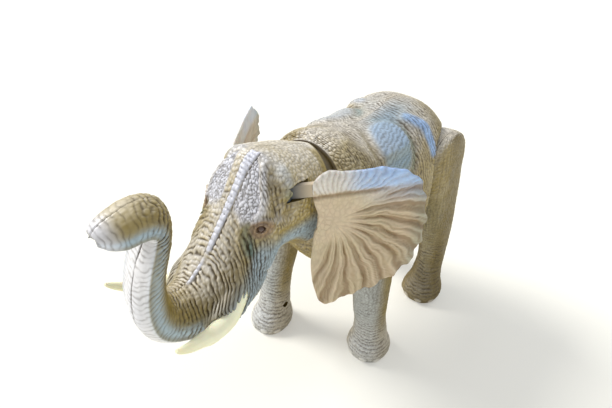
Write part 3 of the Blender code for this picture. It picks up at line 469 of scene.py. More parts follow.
torso_rows = [neck_row(-SEAM, COLLAR_RADIUS)]
for top_place, top_height, bottom_place, bottom_height, width, squareness in torso_shares:
    torso_rows.append((NECK[1] + TORSO["length"] * top_place, TORSO["height"] * top_height,
                       NECK[1] + TORSO["length"] * bottom_place, TORSO["height"] * bottom_height,
                       TORSO["width"] * width, squareness))
head_rows = [neck_row(RIM_GAP + RIM_ROUND, RIM_RADIUS, 0, NECK_SWEEP)]
for top_place, top_height, bottom_place, bottom_height, width, squareness, twist in head_shares:
    head_rows.append((NECK[1] - HEAD["length"] * top_place, NECK[2] + HEAD["height"] * top_height,
                      NECK[1] - HEAD["length"] * bottom_place,
                      NECK[2] + HEAD["height"] * bottom_height,
                      HEAD["width"] * width, squareness, math.radians(twist), 0))
print(len(torso_rows), "torso sections and", len(head_rows), "head sections")


# %% Skins of the head and torso before any carving
def section_arc(row, side, count, inset=0.0):
    top = np.array([0, row[0], row[1]])
    bottom = np.array([0, row[2], row[3]])
    up = (top - bottom) / np.linalg.norm(top - bottom)
    twist, sweep = (row[6], row[7]) if len(row) > 6 else (0.0, 0.0)
    return half_oval(top - up * inset, bottom + up * inset, row[4] - inset, row[5], side, count,
                     twist, sweep)


def torso_skin(side):
    skin = Skin(side)
    sections, along = spaced_sections(torso_rows, 0.75 / DENSITY)
    for row, reach in zip(sections, along):
        skin.add(section_arc(row, side, int(190 * DENSITY)), reach, between(reach, 0.5, 4))
    skin.close()
    return skin


def head_skin(side):
    skin = Skin(side)
    wide, narrow = int(200 * DENSITY), int(96 * DENSITY)
    rim = BALL_SETBACK + RIM_GAP
    for share in np.linspace(0, 1, 8):
        ahead = -BALL_SETBACK + (rim + BALL_SETBACK) * share
        lean = max(0.0, ahead / rim) * RIM_SWEEP
        skin.add(ball_arc(ahead, BALL_RADIUS, side, wide, lean), -12, 0)
    for share in (0.12, 0.25, 0.5):
        radius = RIM_RADIUS - RIM_ROUND * {0.12: 0.62, 0.25: 0.33, 0.5: 0.08}[share]
        skin.add(ball_arc(rim + RIM_ROUND * share, radius, side, wide, NECK_SWEEP, False), -2, 0)
    sections, along = spaced_sections(head_rows[:10], 0.62 / DENSITY)
    for row, reach in zip(sections[:-1], along[:-1]):
        skin.add(section_arc(row, side, wide), reach, between(reach, 0.5, 5))
    trunk, further = spaced_sections(head_rows[9:], 0.45 / DENSITY)
    for row, reach in zip(trunk, further):
        skin.add(section_arc(row, side, narrow), along[-1] + reach)
    skin.trunk_start = along[-1]
    skin.close()
    return skin


head_skins = {word: head_skin(side) for word, side in SIDES.items()}
torso_skins = {word: torso_skin(side) for word, side in SIDES.items()}
for word in SIDES:
    print(word, "head", len(head_skins[word].points), "points, torso", len(torso_skins[word].points))

# %% [markdown]
# ## Paint colours
#
# The figure is moulded in olive brown plastic. A thin dark wash lies in the creases and is also
# painted shade there. A pale taupe spray covers what faces up or forward, so the back and the
# trunk's top are light and the flanks stay brown; it is partly painted top light. Cool frosted and
# blue patches on the forehead and the hips are partly paint and partly painted sheen, the sky's
# reflection. Each skin works out its paint point by point, right after it is carved, and keeps it
# as a colour on its points.


# %% Paints
def paint(red, green, blue):
    """A paint given in 0 to 255, as light values."""
    values = np.array([red, green, blue]) / 255
    return np.where(values <= 0.04045, values / 12.92, ((values + 0.055) / 1.055) ** 2.4)


OLIVE = paint(162, 140, 62)
DARK_OLIVE = paint(108, 90, 32)
TAUPE = paint(212, 197, 162)
SPRAY = paint(230, 226, 220)
# Pale frost, sky blue and slate are partly paint and partly painted sheen, the sky's reflection
FROST_AND_SHEEN = paint(232, 234, 246)
SKY = paint(172, 206, 252)
SLATE = paint(164, 190, 210)
TEAL = paint(122, 154, 150)
# The dark wash for the creases, partly paint and partly painted shade
WASH_AND_SHADE = paint(66, 50, 20)
LID = paint(158, 126, 104)
# Dark paint that stands in for the shade deep in the ear's slot
SLOT_SHADE = paint(58, 66, 74)
TAN = paint(218, 199, 170)
EAR_BROWN = paint(132, 104, 66)
IVORY = paint(252, 250, 218)
YELLOW = paint(216, 208, 142)


def mixed(first, second, share):
    share = np.clip(share, 0, 1)[:, None]
    return first * (1 - share) + second * share


def hide_paint(facing, blotch):
    """Olive plastic with taupe and pale spray on what faces up or forward, which is partly paint and partly
    painted top light.
    """
    light = facing[:, 2] * 0.85 - facing[:, 1] * 0.30 + 0.22 * blotch
    colour = mixed(OLIVE, TAUPE, between(light, -0.10, 0.60))
    colour = mixed(colour, SPRAY, between(light, 0.40, 1.0) * 0.85)
    return colour


print("paints mixed, olive is", OLIVE.round(3))

# %% [markdown]
# ## Carving the head
#
# The head has big forms first: the brow that runs from the crown to the eye, the sunken temple
# behind it, the folds before the eye and the cheek, and the sheath that grows out round the
# tusk. Then come the details: a row of knuckled ridges beside the seam, pebbled hide on the
# forehead, creases that turn into the trunk's rings, and the eyelids. Both halves use the same
# places, mirrored, with different noise. The ridges and the raised place for the ear's hinge
# stand on the left half only, and round the hinge the hide is lower so that the ear can swing.

# %% Places on the head
EYE = np.array([23.4, -80.0, 180.8])
EYE_LENGTH_AXIS = np.array([0.60, 0.76, 0.25])
EYE_LENGTH_AXIS = EYE_LENGTH_AXIS / np.linalg.norm(EYE_LENGTH_AXIS)
EYE_SIZE = (3.1, 1.9)
brow = [(7.0, -62.0, 213.0), (11.9, -62.5, 210.6), (14.2, -66.5, 207.7), (17.2, -70.0, 202.4),
        (20.6, -73.6, 195.7), (22.0, -77.0, 189.5), (20.4, -81.5, 186.0)]
temple = [(17.5, -65.0, 206.0), (22.0, -67.0, 199.6), (25.6, -68.0, 192.5), (26.6, -70.0, 187.0)]
dark_hollow = [(27.2, -60.5, 190.0), (28.6, -62.5, 184.5)]
temple_bulge = [(19.0, -57.5, 205.5), (23.2, -58.0, 201.0), (26.2, -59.5, 195.5)]
front_hollow = [(19.0, -84.8, 181.0), (20.0, -87.2, 175.0), (22.8, -87.6, 168.0)]
front_folds = [[(14.0, -86.5, 184.5), (16.6, -89.8, 175.4), (20.5, -92.6, 164.0), (24.6, -95.5, 149.0)],
               [(22.6, -86.5, 172.0), (25.0, -88.2, 164.0), (26.6, -91.0, 152.0)]]
cheekbone = [(25.4, -75.5, 184.0), (27.6, -70.5, 182.0), (28.6, -66.0, 178.0)]
cheek = (28.0, -75.0, 170.5)
mouth = [(27.0, -86.5, 155.5), (26.5, -79.0, 151.0), (24.5, -70.0, 149.0), (22.0, -60.0, 149.0)]
ear_boss = [(27.0, -46.0, 197.5), (28.5, -46.5, 190.0)]
brow_edge = np.array([(187.5, 19.0), (190.3, 20.6), (195.7, 19.6), (202.4, 15.8), (207.7, 12.8),
                      (210.6, 10.4), (213.5, 6.5)])
tusk_root = np.array([21.6, -100.62, 140.5])
tusk_way = np.array([0.24, -0.87, -0.43])
SHEATH_REACH = 7.5


def eye_axes(normal):
    """Directions along and up the eye's opening, square to the surface."""
    along = EYE_LENGTH_AXIS - normal * (EYE_LENGTH_AXIS @ normal)
    along = along / np.linalg.norm(along)
    return along, np.cross(along, normal) * np.sign(np.cross(along, normal)[2])


def grow_sheath(skin):
    """Draw the cheek out along the tusk, so that a sleeve of hide covers its root."""
    at = skin.mirrored()
    way = tusk_way / np.linalg.norm(tusk_way)
    ahead = (at - tusk_root) @ way
    aside = np.linalg.norm(at - tusk_root - np.outer(ahead, way), axis=1)
    swell = 3.0 * np.exp(-(((at - tusk_root) ** 2).sum(axis=1)) / (2 * 9.0 ** 2))
    skin.push(swell)
    pull = SHEATH_REACH * (1 - between(aside, 6.6, 11.5)) * between(ahead, -9, -1)
    move = np.outer(pull, way * np.array([skin.side, 1, 1]))
    skin.points = skin.points + move * skin.loose[:, None]
    skin.points[skin.ends, 0] = skin.seam
    skin.push(np.zeros(len(skin.points)))


def head_forms(skin):
    """The large forms of the head, in mm outwards."""
    at = skin.mirrored()
    lift = 1.7 * near_path(at, brow, 2.4)
    lift -= 3.3 * near_path(at, temple, 3.9)
    lift -= 2.3 * near_path(at, dark_hollow, 4.2)
    lift += 1.6 * near_path(at, temple_bulge, 3.4)
    lift -= 2.2 * near_path(at, front_hollow, 2.5)
    for fold in front_folds:
        lift += 1.4 * near_path(at, fold, 1.9)
    lift += 1.2 * near_path(at, cheekbone, 3.2) + 0.9 * blob(at, cheek, (6, 8, 7))
    lift -= 1.2 * near_path(at, mouth, 1.8)
    hinge_room = between(at[:, 0], 25, 28) * between(at[:, 1], -48, -44)
    lift += (2.2 if skin.side > 0 else 0.0) * near_path(at, ear_boss, 5.0) * (1 - hinge_room)
    lift += 0.35 * noise(at, 13, 5)
    guard = blob(at, (22.0, -59.0, 202.0), (5.5, 5.5, 5.5))
    lift = lift * (1 - hinge_room) + np.minimum(lift, -0.3) * hinge_room
    return lift * (1 - guard) + 1.9 * guard


def ridge_width(at):
    return np.interp(-at[:, 1], [60, 68, 75, 95, 110], [7.5, 6.5, 5.4, 4.2, 2.6])


def panel_mask(at):
    """1 on the pebbled part of the forehead, between the ridges and the brow."""
    width = ridge_width(at)
    edge = np.interp(at[:, 2], brow_edge[:, 0], brow_edge[:, 1])
    low = np.interp(at[:, 0], [3.0, 7.3, 15.9, 21.0], [193.0, 188.0, 183.5, 186.0])
    mask = between(at[:, 0], width - 0.5, width + 0.8) * (1 - between(at[:, 0], edge - 0.8, edge + 0.8))
    return mask * between(at[:, 2], low - 3.5, low + 2.5) * between(-at[:, 1], 60, 63)


def carve_head(skin):
    grow_sheath(skin)
    skin.push(head_forms(skin))
    at = skin.mirrored()
    drift = at + np.array([0, 0, 40.0]) * (skin.side < 0)
    trunk = between(skin.along, skin.trunk_start - 22, skin.trunk_start - 2)
    nearest = np.argmin(((at - EYE) ** 2).sum(axis=1))
    normal = skin.normals()[nearest] * np.array([skin.side, 1, 1])
    skin.eye_normal = normal
    skin.eye_place = at[nearest]
    long_axis, up_axis = eye_axes(normal)
    across, rise = (at - skin.eye_place) @ long_axis, (at - skin.eye_place) @ up_axis
    depth = np.abs((at - skin.eye_place) @ normal)
    eye_ring = np.hypot(across / EYE_SIZE[0], rise / EYE_SIZE[1]) + depth / 6
    near_eye = 1 - between(eye_ring, 2.0, 3.3)
    hollows = np.maximum(near_path(at, temple, 4.6), near_path(at, dark_hollow, 4.8))

    # Rings and creases that follow the sections
    warp = 1.3 * noise(drift, 9, 3) + 0.9 * noise(drift, 4, 4) + 0.3 * noise(drift, 2, 14)
    fine = groove((skin.along + warp) / 3.1, 0.21)
    rings = groove((skin.along + 1.25 * warp) / 3.2, 0.17)
    patchy = between(noise(drift, 3.6, 6), -0.7, 0.5)
    strip = between(skin.round, 0.66, 0.70)
    cheek_side = between(-at[:, 1], 76, 88) * between(skin.round, 0.12, 0.25)
    crease = trunk * rings * (0.3 + 0.7 * patchy) + (1 - trunk) * fine * np.maximum(patchy * 0.8, cheek_side)
    tip = between(-at[:, 1], 132, 141)
    crease_depth = (trunk * (0.95 - 0.55 * strip) * (1 - 0.8 * between(-at[:, 1], 124, 138))
                    + (1 - trunk) * (0.45 + 0.65 * cheek_side + 0.4 * hollows))
    panel = panel_mask(at) * (1 - between(trunk, 0.1, 0.6))
    crown = (1 - between(skin.round, 0.2, 0.42)) * (1 - between(-at[:, 1], 58, 64))
    crease = crease * (1 - panel) * (1 - near_eye) * (1 - 0.7 * crown)

    # Pebbled and netted hide, and the flat pale strip under the trunk with its raised edges
    pebbles = between(cracks(drift, 2.1, 5), 0.25, 0.95)
    net = between(cracks(drift * np.array([1, 1, 0.8]), 2.5, 9), 0.2, 0.9)
    hide = panel * pebbles + (1 - panel) * (1 - trunk) * net * 0.55
    cross = trunk * cracks(drift * np.array([1.0, 0.6, 0.6]), 2.3, 12) * (0.7 - 0.5 * strip) * (1 - tip)
    strip_form = trunk * (0.9 * np.exp(-((skin.round - 0.68) / 0.035) ** 2)
                          - 0.5 * between(skin.round, 0.72, 0.8))

    # The knuckled row beside the seam, on the left half only
    width = ridge_width(at)
    row = between(-at[:, 1], 60.5, 63) * (1 - between(-at[:, 1], 112, 121)) * (skin.side > 0)
    row = row * (1 - between(at[:, 2], 150, 170) * between(-at[:, 1], 98, 104))
    row = row * (skin.round < 0.4)
    profile = np.sqrt(np.clip(1 - (at[:, 0] / width - 0.5) ** 2 * 3.6, 0, 1)) * row
    gaps = groove((skin.along + 0.5 * noise(drift, 5, 15)) / 3.4, 0.18)
    flank = np.exp(-((at[:, 0] - width * 1.06) / 0.6) ** 2) * row
    crease = crease * (1 - between(profile, 0.05, 0.3))

    # Eyelids, the hood over them and the folds round them
    upper = between(rise, -0.6, 0.8)
    lids = 0.75 * np.exp(-((eye_ring - 1.25) / 0.26) ** 2) * (0.8 + 0.4 * upper)
    lids -= 1.4 * (1 - between(eye_ring, 0.80, 1.05))
    lids -= 0.45 * np.exp(-((eye_ring - 1.8) / 0.22) ** 2)
    lids += 0.9 * np.exp(-((eye_ring - 2.5) / 0.45) ** 2) * upper
    lids -= 0.5 * np.exp(-((eye_ring - 3.3) / 0.3) ** 2) * upper
    folds = groove(eye_ring / 0.75 + 0.5 * noise(drift, 3, 18), 0.16) * near_eye
    folds = folds * between(eye_ring, 2.0, 2.6) * (1 - upper)

    # A step before the neck, with upright lines, where the ear's hinge is housed
    band = (1 - between(skin.along, 9, 10.5)) * between(at[:, 0], 8, 12) * (1 - between(at[:, 0], 24, 27))
    band = band * between(at[:, 2], 182, 188) * (skin.along > 0)
    lift = -crease * crease_depth - 0.62 * hide - 0.30 * cross + profile * (0.75 - 0.75 * gaps) - 0.5 * flank
    band_height = 0.9 if skin.side > 0 else 0.2
    lift += lids - 0.25 * folds + 0.10 * noise(drift, 1.6, 20) + strip_form + band_height * band
    seam = np.exp(-((at[:, 0] - SEAM) / 0.45) ** 2)
    crack = trunk * strip * between(noise(drift, 12, 22), -0.5, 0.2)
    skin.push(lift - seam * (0.15 + 0.5 * crack))
    wash_and_shade = np.clip(crease * (0.45 + 0.55 * crease_depth) + 0.75 * hide + 0.5 * cross
                   + gaps * (profile > 0.1) * 0.55 + 0.5 * flank + 0.5 * folds
                   + seam * (0.25 + 0.75 * crack), 0, 1) * skin.loose

    # Paint
    facing = skin.normals() * np.array([skin.side, 1, 1])
    blotch = noise(drift, 17, 81) * 0.6 + noise(drift, 6, 82) * 0.4
    colour = hide_paint(facing, blotch)
    # The trunk's sides, by the way they face, are painted dark olive as painted shade
    flank_side = trunk * between(facing[:, 0], 0.15, 0.8) * (1 - strip)
    colour = mixed(colour, DARK_OLIVE, flank_side * 0.75)
    lower_face = (1 - trunk) * between(-at[:, 1], 70, 86) * between(at[:, 0], 8, 18)
    colour = mixed(colour, OLIVE, lower_face * (1 - panel) * 0.75)
    colour = mixed(colour, SPRAY * 0.6 + FROST_AND_SHEEN * 0.4, trunk * strip)
    # The slate band on the trunk's side and the frosted tip are partly blue paint and partly painted sky
    # reflection
    colour = mixed(colour, SLATE, trunk * np.exp(-((skin.round - 0.56) / 0.12) ** 2) * 0.8)
    curl_top = trunk * between(-at[:, 1], 112, 124) * between(facing[:, 2], -0.2, 0.5)
    colour = mixed(colour, OLIVE, curl_top * (1 - strip) * 0.5)
    colour = mixed(colour, FROST_AND_SHEEN, trunk * between(-at[:, 1], 145, 156) * 0.7)
    # Painted shade in the temple hollows
    colour = mixed(colour, DARK_OLIVE, hollows * 0.40)
    colour = mixed(colour, TEAL, np.maximum(near_path(at, temple_bulge, 3.4) * 0.55,
                                            near_path(at, front_hollow, 2.8) * 0.9))
    # The slate jaw and the frosted panel, ridges, brow and temple are partly pale paint and partly painted sheen
    colour = mixed(colour, SLATE, between(-at[:, 2], -178, -166) * between(at[:, 0], 22, 27) * (1 - trunk) * 0.8)
    colour = mixed(colour, FROST_AND_SHEEN, np.maximum(panel * 0.85, between(profile, 0.1, 0.5)))
    colour = mixed(colour, FROST_AND_SHEEN, np.maximum(near_path(at, brow, 2.8) * 0.8,
                                             near_path(at, temple_bulge[:2], 3.0) * 0.8))
    nape = (1 - between(skin.along, 6, 12)) * between(at[:, 0], 4, 10)
    colour = mixed(colour, OLIVE, np.maximum(band, nape) * 0.7)
    colour = mixed(colour, LID, near_eye * 0.7)
    # The dark wash in the creases, cracks and seam is partly paint and partly painted shade
    colour = mixed(colour, WASH_AND_SHADE, wash_and_shade * np.where(profile > 0.1, 0.5, 0.92))
    # Painted shade on the ball and the rim, seen in the gap at the collar
    colour = mixed(colour, WASH_AND_SHADE, 0.8 * (skin.along < 0))
    skin.colour = colour


for word, skin in head_skins.items():
    carve_head(skin)
    print(word, "head carved; the eye is at", skin.eye_place.round(1), "mm")

# %% [markdown]
# ## Carving the torso
#
# Over the hips a broad rounded muscle stands out between troughs, with fingerprint-like lines
# on it, and behind it lies a narrower pad. Both are blue, partly sprayed paint and partly a
# painted reflection of the sky, strongly on the left. The troughs and the collar's edge get
# painted shade. The rest of the hide is a net of fine wrinkles, deepest on the shoulder, and the
# hide is lower round the wells so that the legs swing clear.

# %% Places on the torso, and its carving
LOBE_CENTRE, LOBE_DOWN = np.array([29.0, 40.0, 183.5]), np.array([0.76, 0.0, -0.65])
LOBE_SIZE = (19.0, 24.0)
rump_pad = [(20.0, 70.0, 192.0), (31.0, 76.5, 187.0), (38.5, 78.0, 178.5), (42.0, 77.0, 170.0)]
shoulder = (24.0, -4.0, 190.0)
shoulder_edge = [(10.0, 14.0, 198.0), (20.0, 10.0, 194.5), (30.0, 9.0, 187.0), (38.0, 12.0, 175.0)]


def carve_torso(skin):
    at = skin.mirrored()
    length, down = at[:, 1] - LOBE_CENTRE[1], (at - LOBE_CENTRE) @ LOBE_DOWN
    ring = ((np.abs(length + 0.15 * down) / LOBE_SIZE[0]) ** 2.3
            + (np.abs(down) / LOBE_SIZE[1]) ** 2.3) ** (1 / 2.3) + 3 * (at[:, 2] < 150)
    lobe = 1 - between(ring, 0.72, 1.02)
    trough = np.exp(-((ring - 1.10) / 0.13) ** 2)
    pad = near_path(at, rump_pad, 5.0)
    bright = 1.0 if skin.side > 0 else 0.3
    trough = trough * between(at[:, 0], 5, 16)
    lift = 2.3 * lobe - 1.3 * trough + 1.7 * pad
    lift -= 1.2 * near_path(at, shoulder_edge, 4.0) + 0.5 * np.exp(-(path_gap(at, rump_pad) - 8.5) ** 2 / 6)
    lift += 1.0 * blob(at, shoulder, (12, 9, 12))
    flank = between(at[:, 0], 25, 38) * (1 - between(at[:, 2], 150, 170))
    lift += 0.5 * flank * np.sin(at[:, 1] / 2.1 + noise(at, 16, 2) * 2) + 0.4 * noise(at, 18, 7)
    rim = between(at[:, 0], 33, 38) * between(at[:, 2], 105, 115)
    skin.push(lift * (1 - rim) + np.minimum(lift, -0.9 + 0.5 * between(at[:, 1], 25, 40)) * rim)

    at = skin.mirrored()
    drift = at + np.array([0, 0, 60.0]) * (skin.side < 0)
    neck = 1 - between(at[:, 1], 4, 16)
    net = between(cracks(drift, 2.9, 31), 0.2, 0.9)
    small = between(cracks(drift, 2.3, 35), 0.2, 0.9)
    warp = 1.6 * noise(drift, 8, 33) + 0.8 * noise(drift, 3, 34)
    lines = groove((skin.along + warp) / 3.1, 0.19)
    prints = groove((down + 0.35 * length + 1.3 * warp) / 3.2, 0.22)
    patchy = between(noise(drift, 7, 36), -0.6, 0.4)
    crease = lobe * prints * 0.9 + (1 - lobe) * lines * (0.35 + 0.65 * patchy)
    hide = np.maximum(net * (0.3 + 0.7 * neck), 0.6 * small * (1 - neck) * (1 - 0.5 * lobe))
    skin.push(-0.50 * crease - 0.60 * hide + 0.10 * noise(drift, 1.6, 38))
    wash_and_shade = np.clip(0.7 * crease + (0.8 - 0.3 * neck) * hide, 0, 1) * skin.loose

    facing = skin.normals() * np.array([skin.side, 1, 1])
    blotch = noise(drift, 17, 81) * 0.6 + noise(drift, 6, 82) * 0.4
    colour = hide_paint(facing, blotch)
    colour = mixed(colour, OLIVE, neck * between(at[:, 0], 10, 20) * 0.6)
    # Painted shade in the troughs round the lobe and along the shoulder's edge
    colour = mixed(colour, DARK_OLIVE, (0.40 * trough + near_path(at, shoulder_edge, 4) * 0.45))
    # Slate and sky blue on the lobe, the pad and the back are partly paint and partly painted sky reflection,
    # strong on the left
    colour = mixed(colour, SLATE, lobe * (0.80 + 0.2 * blotch) * bright)
    colour = mixed(colour, TEAL, lobe * between(down, -2, 16) * 0.45)
    colour = mixed(colour, TEAL, np.exp(-((ring - 1.02) / 0.10) ** 2) * between(at[:, 1], 40, 52) * 0.6)
    colour = mixed(colour, SKY, lobe * between(facing[:, 2], 0.45, 0.9) * 0.35 * bright)
    colour = mixed(colour, SKY, between(pad + 0.12 * blotch, 0.1, 0.8) * bright)
    colour = mixed(colour, SLATE, blob(at, (12.0, 60.0, 197.0), (12, 20, 10)) * 0.9 * bright)
    colour = mixed(colour, OLIVE, between(at[:, 1], 84, 98) * between(at[:, 0], 8, 20) * 0.5)
    # The dark wash in the net and the lines is partly paint and partly painted shade
    colour = mixed(colour, WASH_AND_SHADE, wash_and_shade * (0.90 - 0.20 * np.maximum(lobe, pad)))
    # Painted shade at the collar's edge, where the torso meets the head
    colour = mixed(colour, WASH_AND_SHADE, 0.9 * (1 - between(skin.along, 0.8, 2.2)))
    skin.colour = colour


for word, skin in torso_skins.items():
    carve_torso(skin)
    print(word, "torso carved")

# %% [markdown]
# ## Legs
#
# Each leg is an outer and an inner shell that meet in a plane along the leg. The sections run
# from the flat sole up to the rounded hip, and the front legs lean because one foot is ahead of
# the other. Low toenails stand round the front of each foot.

# %% Leg sections and their carving
LEG_MIDDLE = 42.0
LEG_WIDTH = 15.7
WELL_FLOOR = 26.0
LEGS = {"front": {"pivot": (14.0, 132.0), "radius": 22.0}, "rear": {"pivot": (101.0, 150.0), "radius": 26.5}}
FRONT_STRIDE, REAR_FOOT = 18.0, 107.0
leg_shares = {
    "front": [
        (0.000, 0.000, 0.760, 1.02, 1.02, 2.2), (0.040, 0.000, 0.800, 1.12, 1.12, 2.2),
        (0.110, 0.000, 0.740, 1.05, 1.05, 2.2), (0.200, 0.000, 0.620, 0.88, 0.88, 2.2),
        (0.300, -0.008, 0.575, 0.82, 0.82, 2.2), (0.430, -0.020, 0.585, 0.83, 0.85, 2.2),
        (0.580, -0.020, 0.660, 0.84, 0.91, 2.3), (0.730, -0.010, 0.800, 0.78, 0.97, 2.4),
        (0.870, 0.000, 0.930, 0.68, 1.00, 2.5)],
    "rear": [
        (0.000, 0.000, 0.620, 1.02, 1.02, 2.2), (0.040, -0.003, 0.665, 1.12, 1.12, 2.2),
        (0.115, 0.012, 0.600, 1.02, 1.02, 2.2), (0.200, 0.035, 0.490, 0.82, 0.82, 2.2),
        (0.300, 0.053, 0.480, 0.75, 0.75, 2.2), (0.433, 0.052, 0.550, 0.78, 0.81, 2.2),
        (0.567, 0.036, 0.670, 0.82, 0.90, 2.3), (0.700, 0.022, 0.790, 0.78, 0.96, 2.4),
        (0.833, 0.010, 0.905, 0.70, 1.00, 2.5), (0.933, 0.000, 0.980, 0.63, 1.00, 2.5)],
}
hip_dome = [(0, 0.60, 1.00), (25, 0.58, 1.00), (45, 0.53, 0.97), (62, 0.45, 0.90), (76, 0.35, 0.78),
            (84, 0.25, 0.62)]


def foot_place(end, side):
    return FRONT_STRIDE * side if end == "front" else REAR_FOOT


def leg_rows(end, side):
    """Front place, height, rear place, height, outer and inner half width, squareness."""
    (place, height), radius = LEGS[end]["pivot"], LEGS[end]["radius"]
    foot = foot_place(end, side)
    rows = []
    for rise, bend, depth, outer, inner, squareness in leg_shares[end]:
        middle = foot + (place - foot) * rise + height * bend
        rows.append((middle - radius * depth, height * rise, middle + radius * depth, height * rise,
                     LEG_WIDTH * outer, LEG_WIDTH * inner, squareness))
    for degrees, outer, inner in hip_dome:
        angle = math.radians(degrees)
        rows.append((place - radius * math.cos(angle), height + radius * math.sin(angle),
                     place + radius * math.cos(angle), height + radius * math.sin(angle),
                     LEG_WIDTH * outer, LEG_WIDTH * inner, 2.6))
    return rows


def leg_skin(end, side, layer):
    """The outer or inner half of a leg. Layer is 1 for the outer half and -1 for the inner."""
    facing = side * layer
    skin = Skin(facing, side * LEG_MIDDLE)
    sections, along = spaced_sections(leg_rows(end, side), 0.7 / DENSITY)
    for row, reach in zip(sections, along):
        width = row[4] if layer > 0 else row[5]
        if layer < 0 and row[1] > 70:
            width = min(width, LEG_MIDDLE - WELL_FLOOR - 0.3)
        arc = half_oval((0, row[0], row[1]), (0, row[2], row[3]), width, row[6], facing,
                        int(76 * DENSITY), middle=side * LEG_MIDDLE)
        skin.add(arc, reach, between(reach, 0.2, 1.5))
    skin.close()
    return skin


def carve_leg(skin, end, side, layer):
    """Knees, wrinkles and toenails. The hip inside the well only loses a little."""
    at = skin.points
    place, height = LEGS[end]["pivot"]
    foot = foot_place(end, side)
    lean = (place - foot) / height
    middle = np.stack([np.full(len(at), side * LEG_MIDDLE), foot + lean * at[:, 2]], axis=1)
    heading = np.degrees(np.arctan2((at[:, 0] - middle[:, 0]) * side, -(at[:, 1] - middle[:, 1])))
    knee = 0.42 if end == "front" else 0.46
    lift = 1.1 * np.exp(-(((at[:, 2] / height - knee) / 0.07) ** 2)) * np.exp(-((heading / 55) ** 2))
    lift += 0.8 * np.exp(-(((at[:, 2] - 9) / 6) ** 2)) - 0.7 * np.exp(-(((at[:, 2] - 21) / 4) ** 2))
    lift += 0.35 * noise(at, 14, 41) * (1 - between(at[:, 2], height - 70, height - 50))
    skin.push(lift)
    at = skin.points
    free = 1 - between(at[:, 2], height - 46, height - 20)
    seat = free if layer < 0 else np.maximum(free, 0.75)
    nails = np.zeros(len(at))
    edges = np.zeros(len(at))
    for spot in (-62, -22, 20, 60):
        ring = np.hypot((heading - spot) / 12.0, (at[:, 2] - 3.6) / 3.2)
        nails = np.maximum(nails, 1 - between(ring, 0.72, 1.0))
        edges = np.maximum(edges, np.exp(-((ring - 1.12) / 0.14) ** 2))
    warp = 1.3 * noise(at, 7, 43) + 0.8 * noise(at, 2.6, 44)
    low = 1 - between(at[:, 2] / height, 0.34, 0.66)
    patchy = between(noise(at, 6, 46), -0.7, 0.3)
    bands = groove((at[:, 2] + warp) / 3.4, 0.20) * (0.45 + 0.55 * low) * (0.4 + 0.6 * patchy)
    upright = groove((heading * 0.28 + warp) / 3.2, 0.18) * (1 - low)
    net = between(cracks(at, 2.0, 45), 0.2, 0.9)
    crease = np.maximum(bands, 0.7 * upright) * (1 - nails) * (1 - edges)
    flat = between(at[:, 2], 0.3, 2.0)
    lift = -0.62 * crease - 0.26 * net * (1 - nails) + 0.45 * nails - 0.18 * edges
    skin.push(lift * flat * seat)
    wash_and_shade = (0.6 * crease * (0.4 + 0.6 * patchy) + 0.4 * net * (1 - nails)) * flat
    wash_and_shade = np.clip(wash_and_shade + 0.35 * edges, 0, 1)

    facing = skin.normals()
    blotch = noise(at, 15, 81) * 0.6 + noise(at, 6, 82) * 0.4
    colour = hide_paint(facing, blotch)
    ahead = 1 - between(np.abs(heading - 8), 25, 75)
    # Frost and slate on the front of the legs are partly paint and partly painted sheen
    colour = mixed(colour, FROST_AND_SHEEN, ahead * (0.35 if end == "front" else 0.0))
    slate_share = 0.40 if end == "front" else 0.15
    colour = mixed(colour, SLATE, ahead * (1 - between(at[:, 2] / height, 0.75, 0.95)) * slate_share)
    # Painted shade on the outward-facing sides of the legs, strongest on the rear legs
    outward = between(facing[:, 0] * side * layer, 0.15, 0.85) * (1 - 0.6 * ahead)
    colour = mixed(colour, DARK_OLIVE, outward * (0.45 if end == "front" else 0.70))
    # The front feet are painted pale as painted light, and the rear feet dark olive as painted shade
    foot_paint, share = (SPRAY, 0.45) if end == "front" else (DARK_OLIVE, 0.65)
    colour = mixed(colour, foot_paint, (1 - between(at[:, 2] / height, 0.15, 0.45)) * share)
    colour = mixed(colour, SPRAY, nails * 0.45)
    # The dark wash in the bands and the net is partly paint and partly painted shade
    colour = mixed(colour, WASH_AND_SHADE, wash_and_shade * 0.85)
    skin.colour = colour


leg_skins = {}
for end in LEGS:
    for word, side in SIDES.items():
        for layer_word, layer in (("outer", 1), ("inner", -1)):
            skin = leg_skin(end, side, layer)
            carve_leg(skin, end, side, layer)
            leg_skins[end, word, layer_word] = skin
print(len(leg_skins), "leg halves carved,", sum(len(s.points) for s in leg_skins.values()), "points")

# %% [markdown]
# ## Ears
#
# An ear is a broad thin plate with ribs that spread from a place near its root, a scalloped
# margin between the ribs, and a rolled band along the top. It is drawn as rings round the ribs'
# centre, with a front and a back face, and then gets the tab and the barrel that turn on the pin
# inside the head.

# %% Measures of the ears and the tusks
EAR_RADIUS, EAR_THICKNESS = 65.0, 2.4
EAR_SPREAD, EAR_LEAN = math.radians(37), math.radians(8)
HINGE_DEPTH = 15.0
HINGE_GAP = 0.3
BARREL_RADIUS, BARREL_HEIGHT = 3.8, 10.0
TAB_THICKNESS, TAB_HEIGHT = 3.0, 8.5
# The visible slot is wider than the tab's way by the height of the hide's relief
SLOT_WIDTH, SLOT_HEIGHT = 8.8, 9.5
EAR_PIN_RADIUS, EAR_PIN_LENGTH = 1.5, 14.0
ear_root_shares = (0.861, 0.200, 0.260)
ear_centre_shares = (0.185, -0.340)
ear_outline_shares = [
    (-157, 0.150), (-127, 0.300), (-112, 0.540), (-102, 0.800), (-96, 0.975), (-88, 0.970),
    (-77, 0.925), (-64, 0.945), (-52, 0.975), (-38, 1.010), (-24, 0.985), (-8, 0.950),
    (6, 0.920), (20, 0.895), (32, 0.810), (45, 0.690), (60, 0.565), (78, 0.505),
    (95, 0.510), (112, 0.450), (126, 0.280), (144, 0.160), (175, 0.130),
]
RIBS = 13


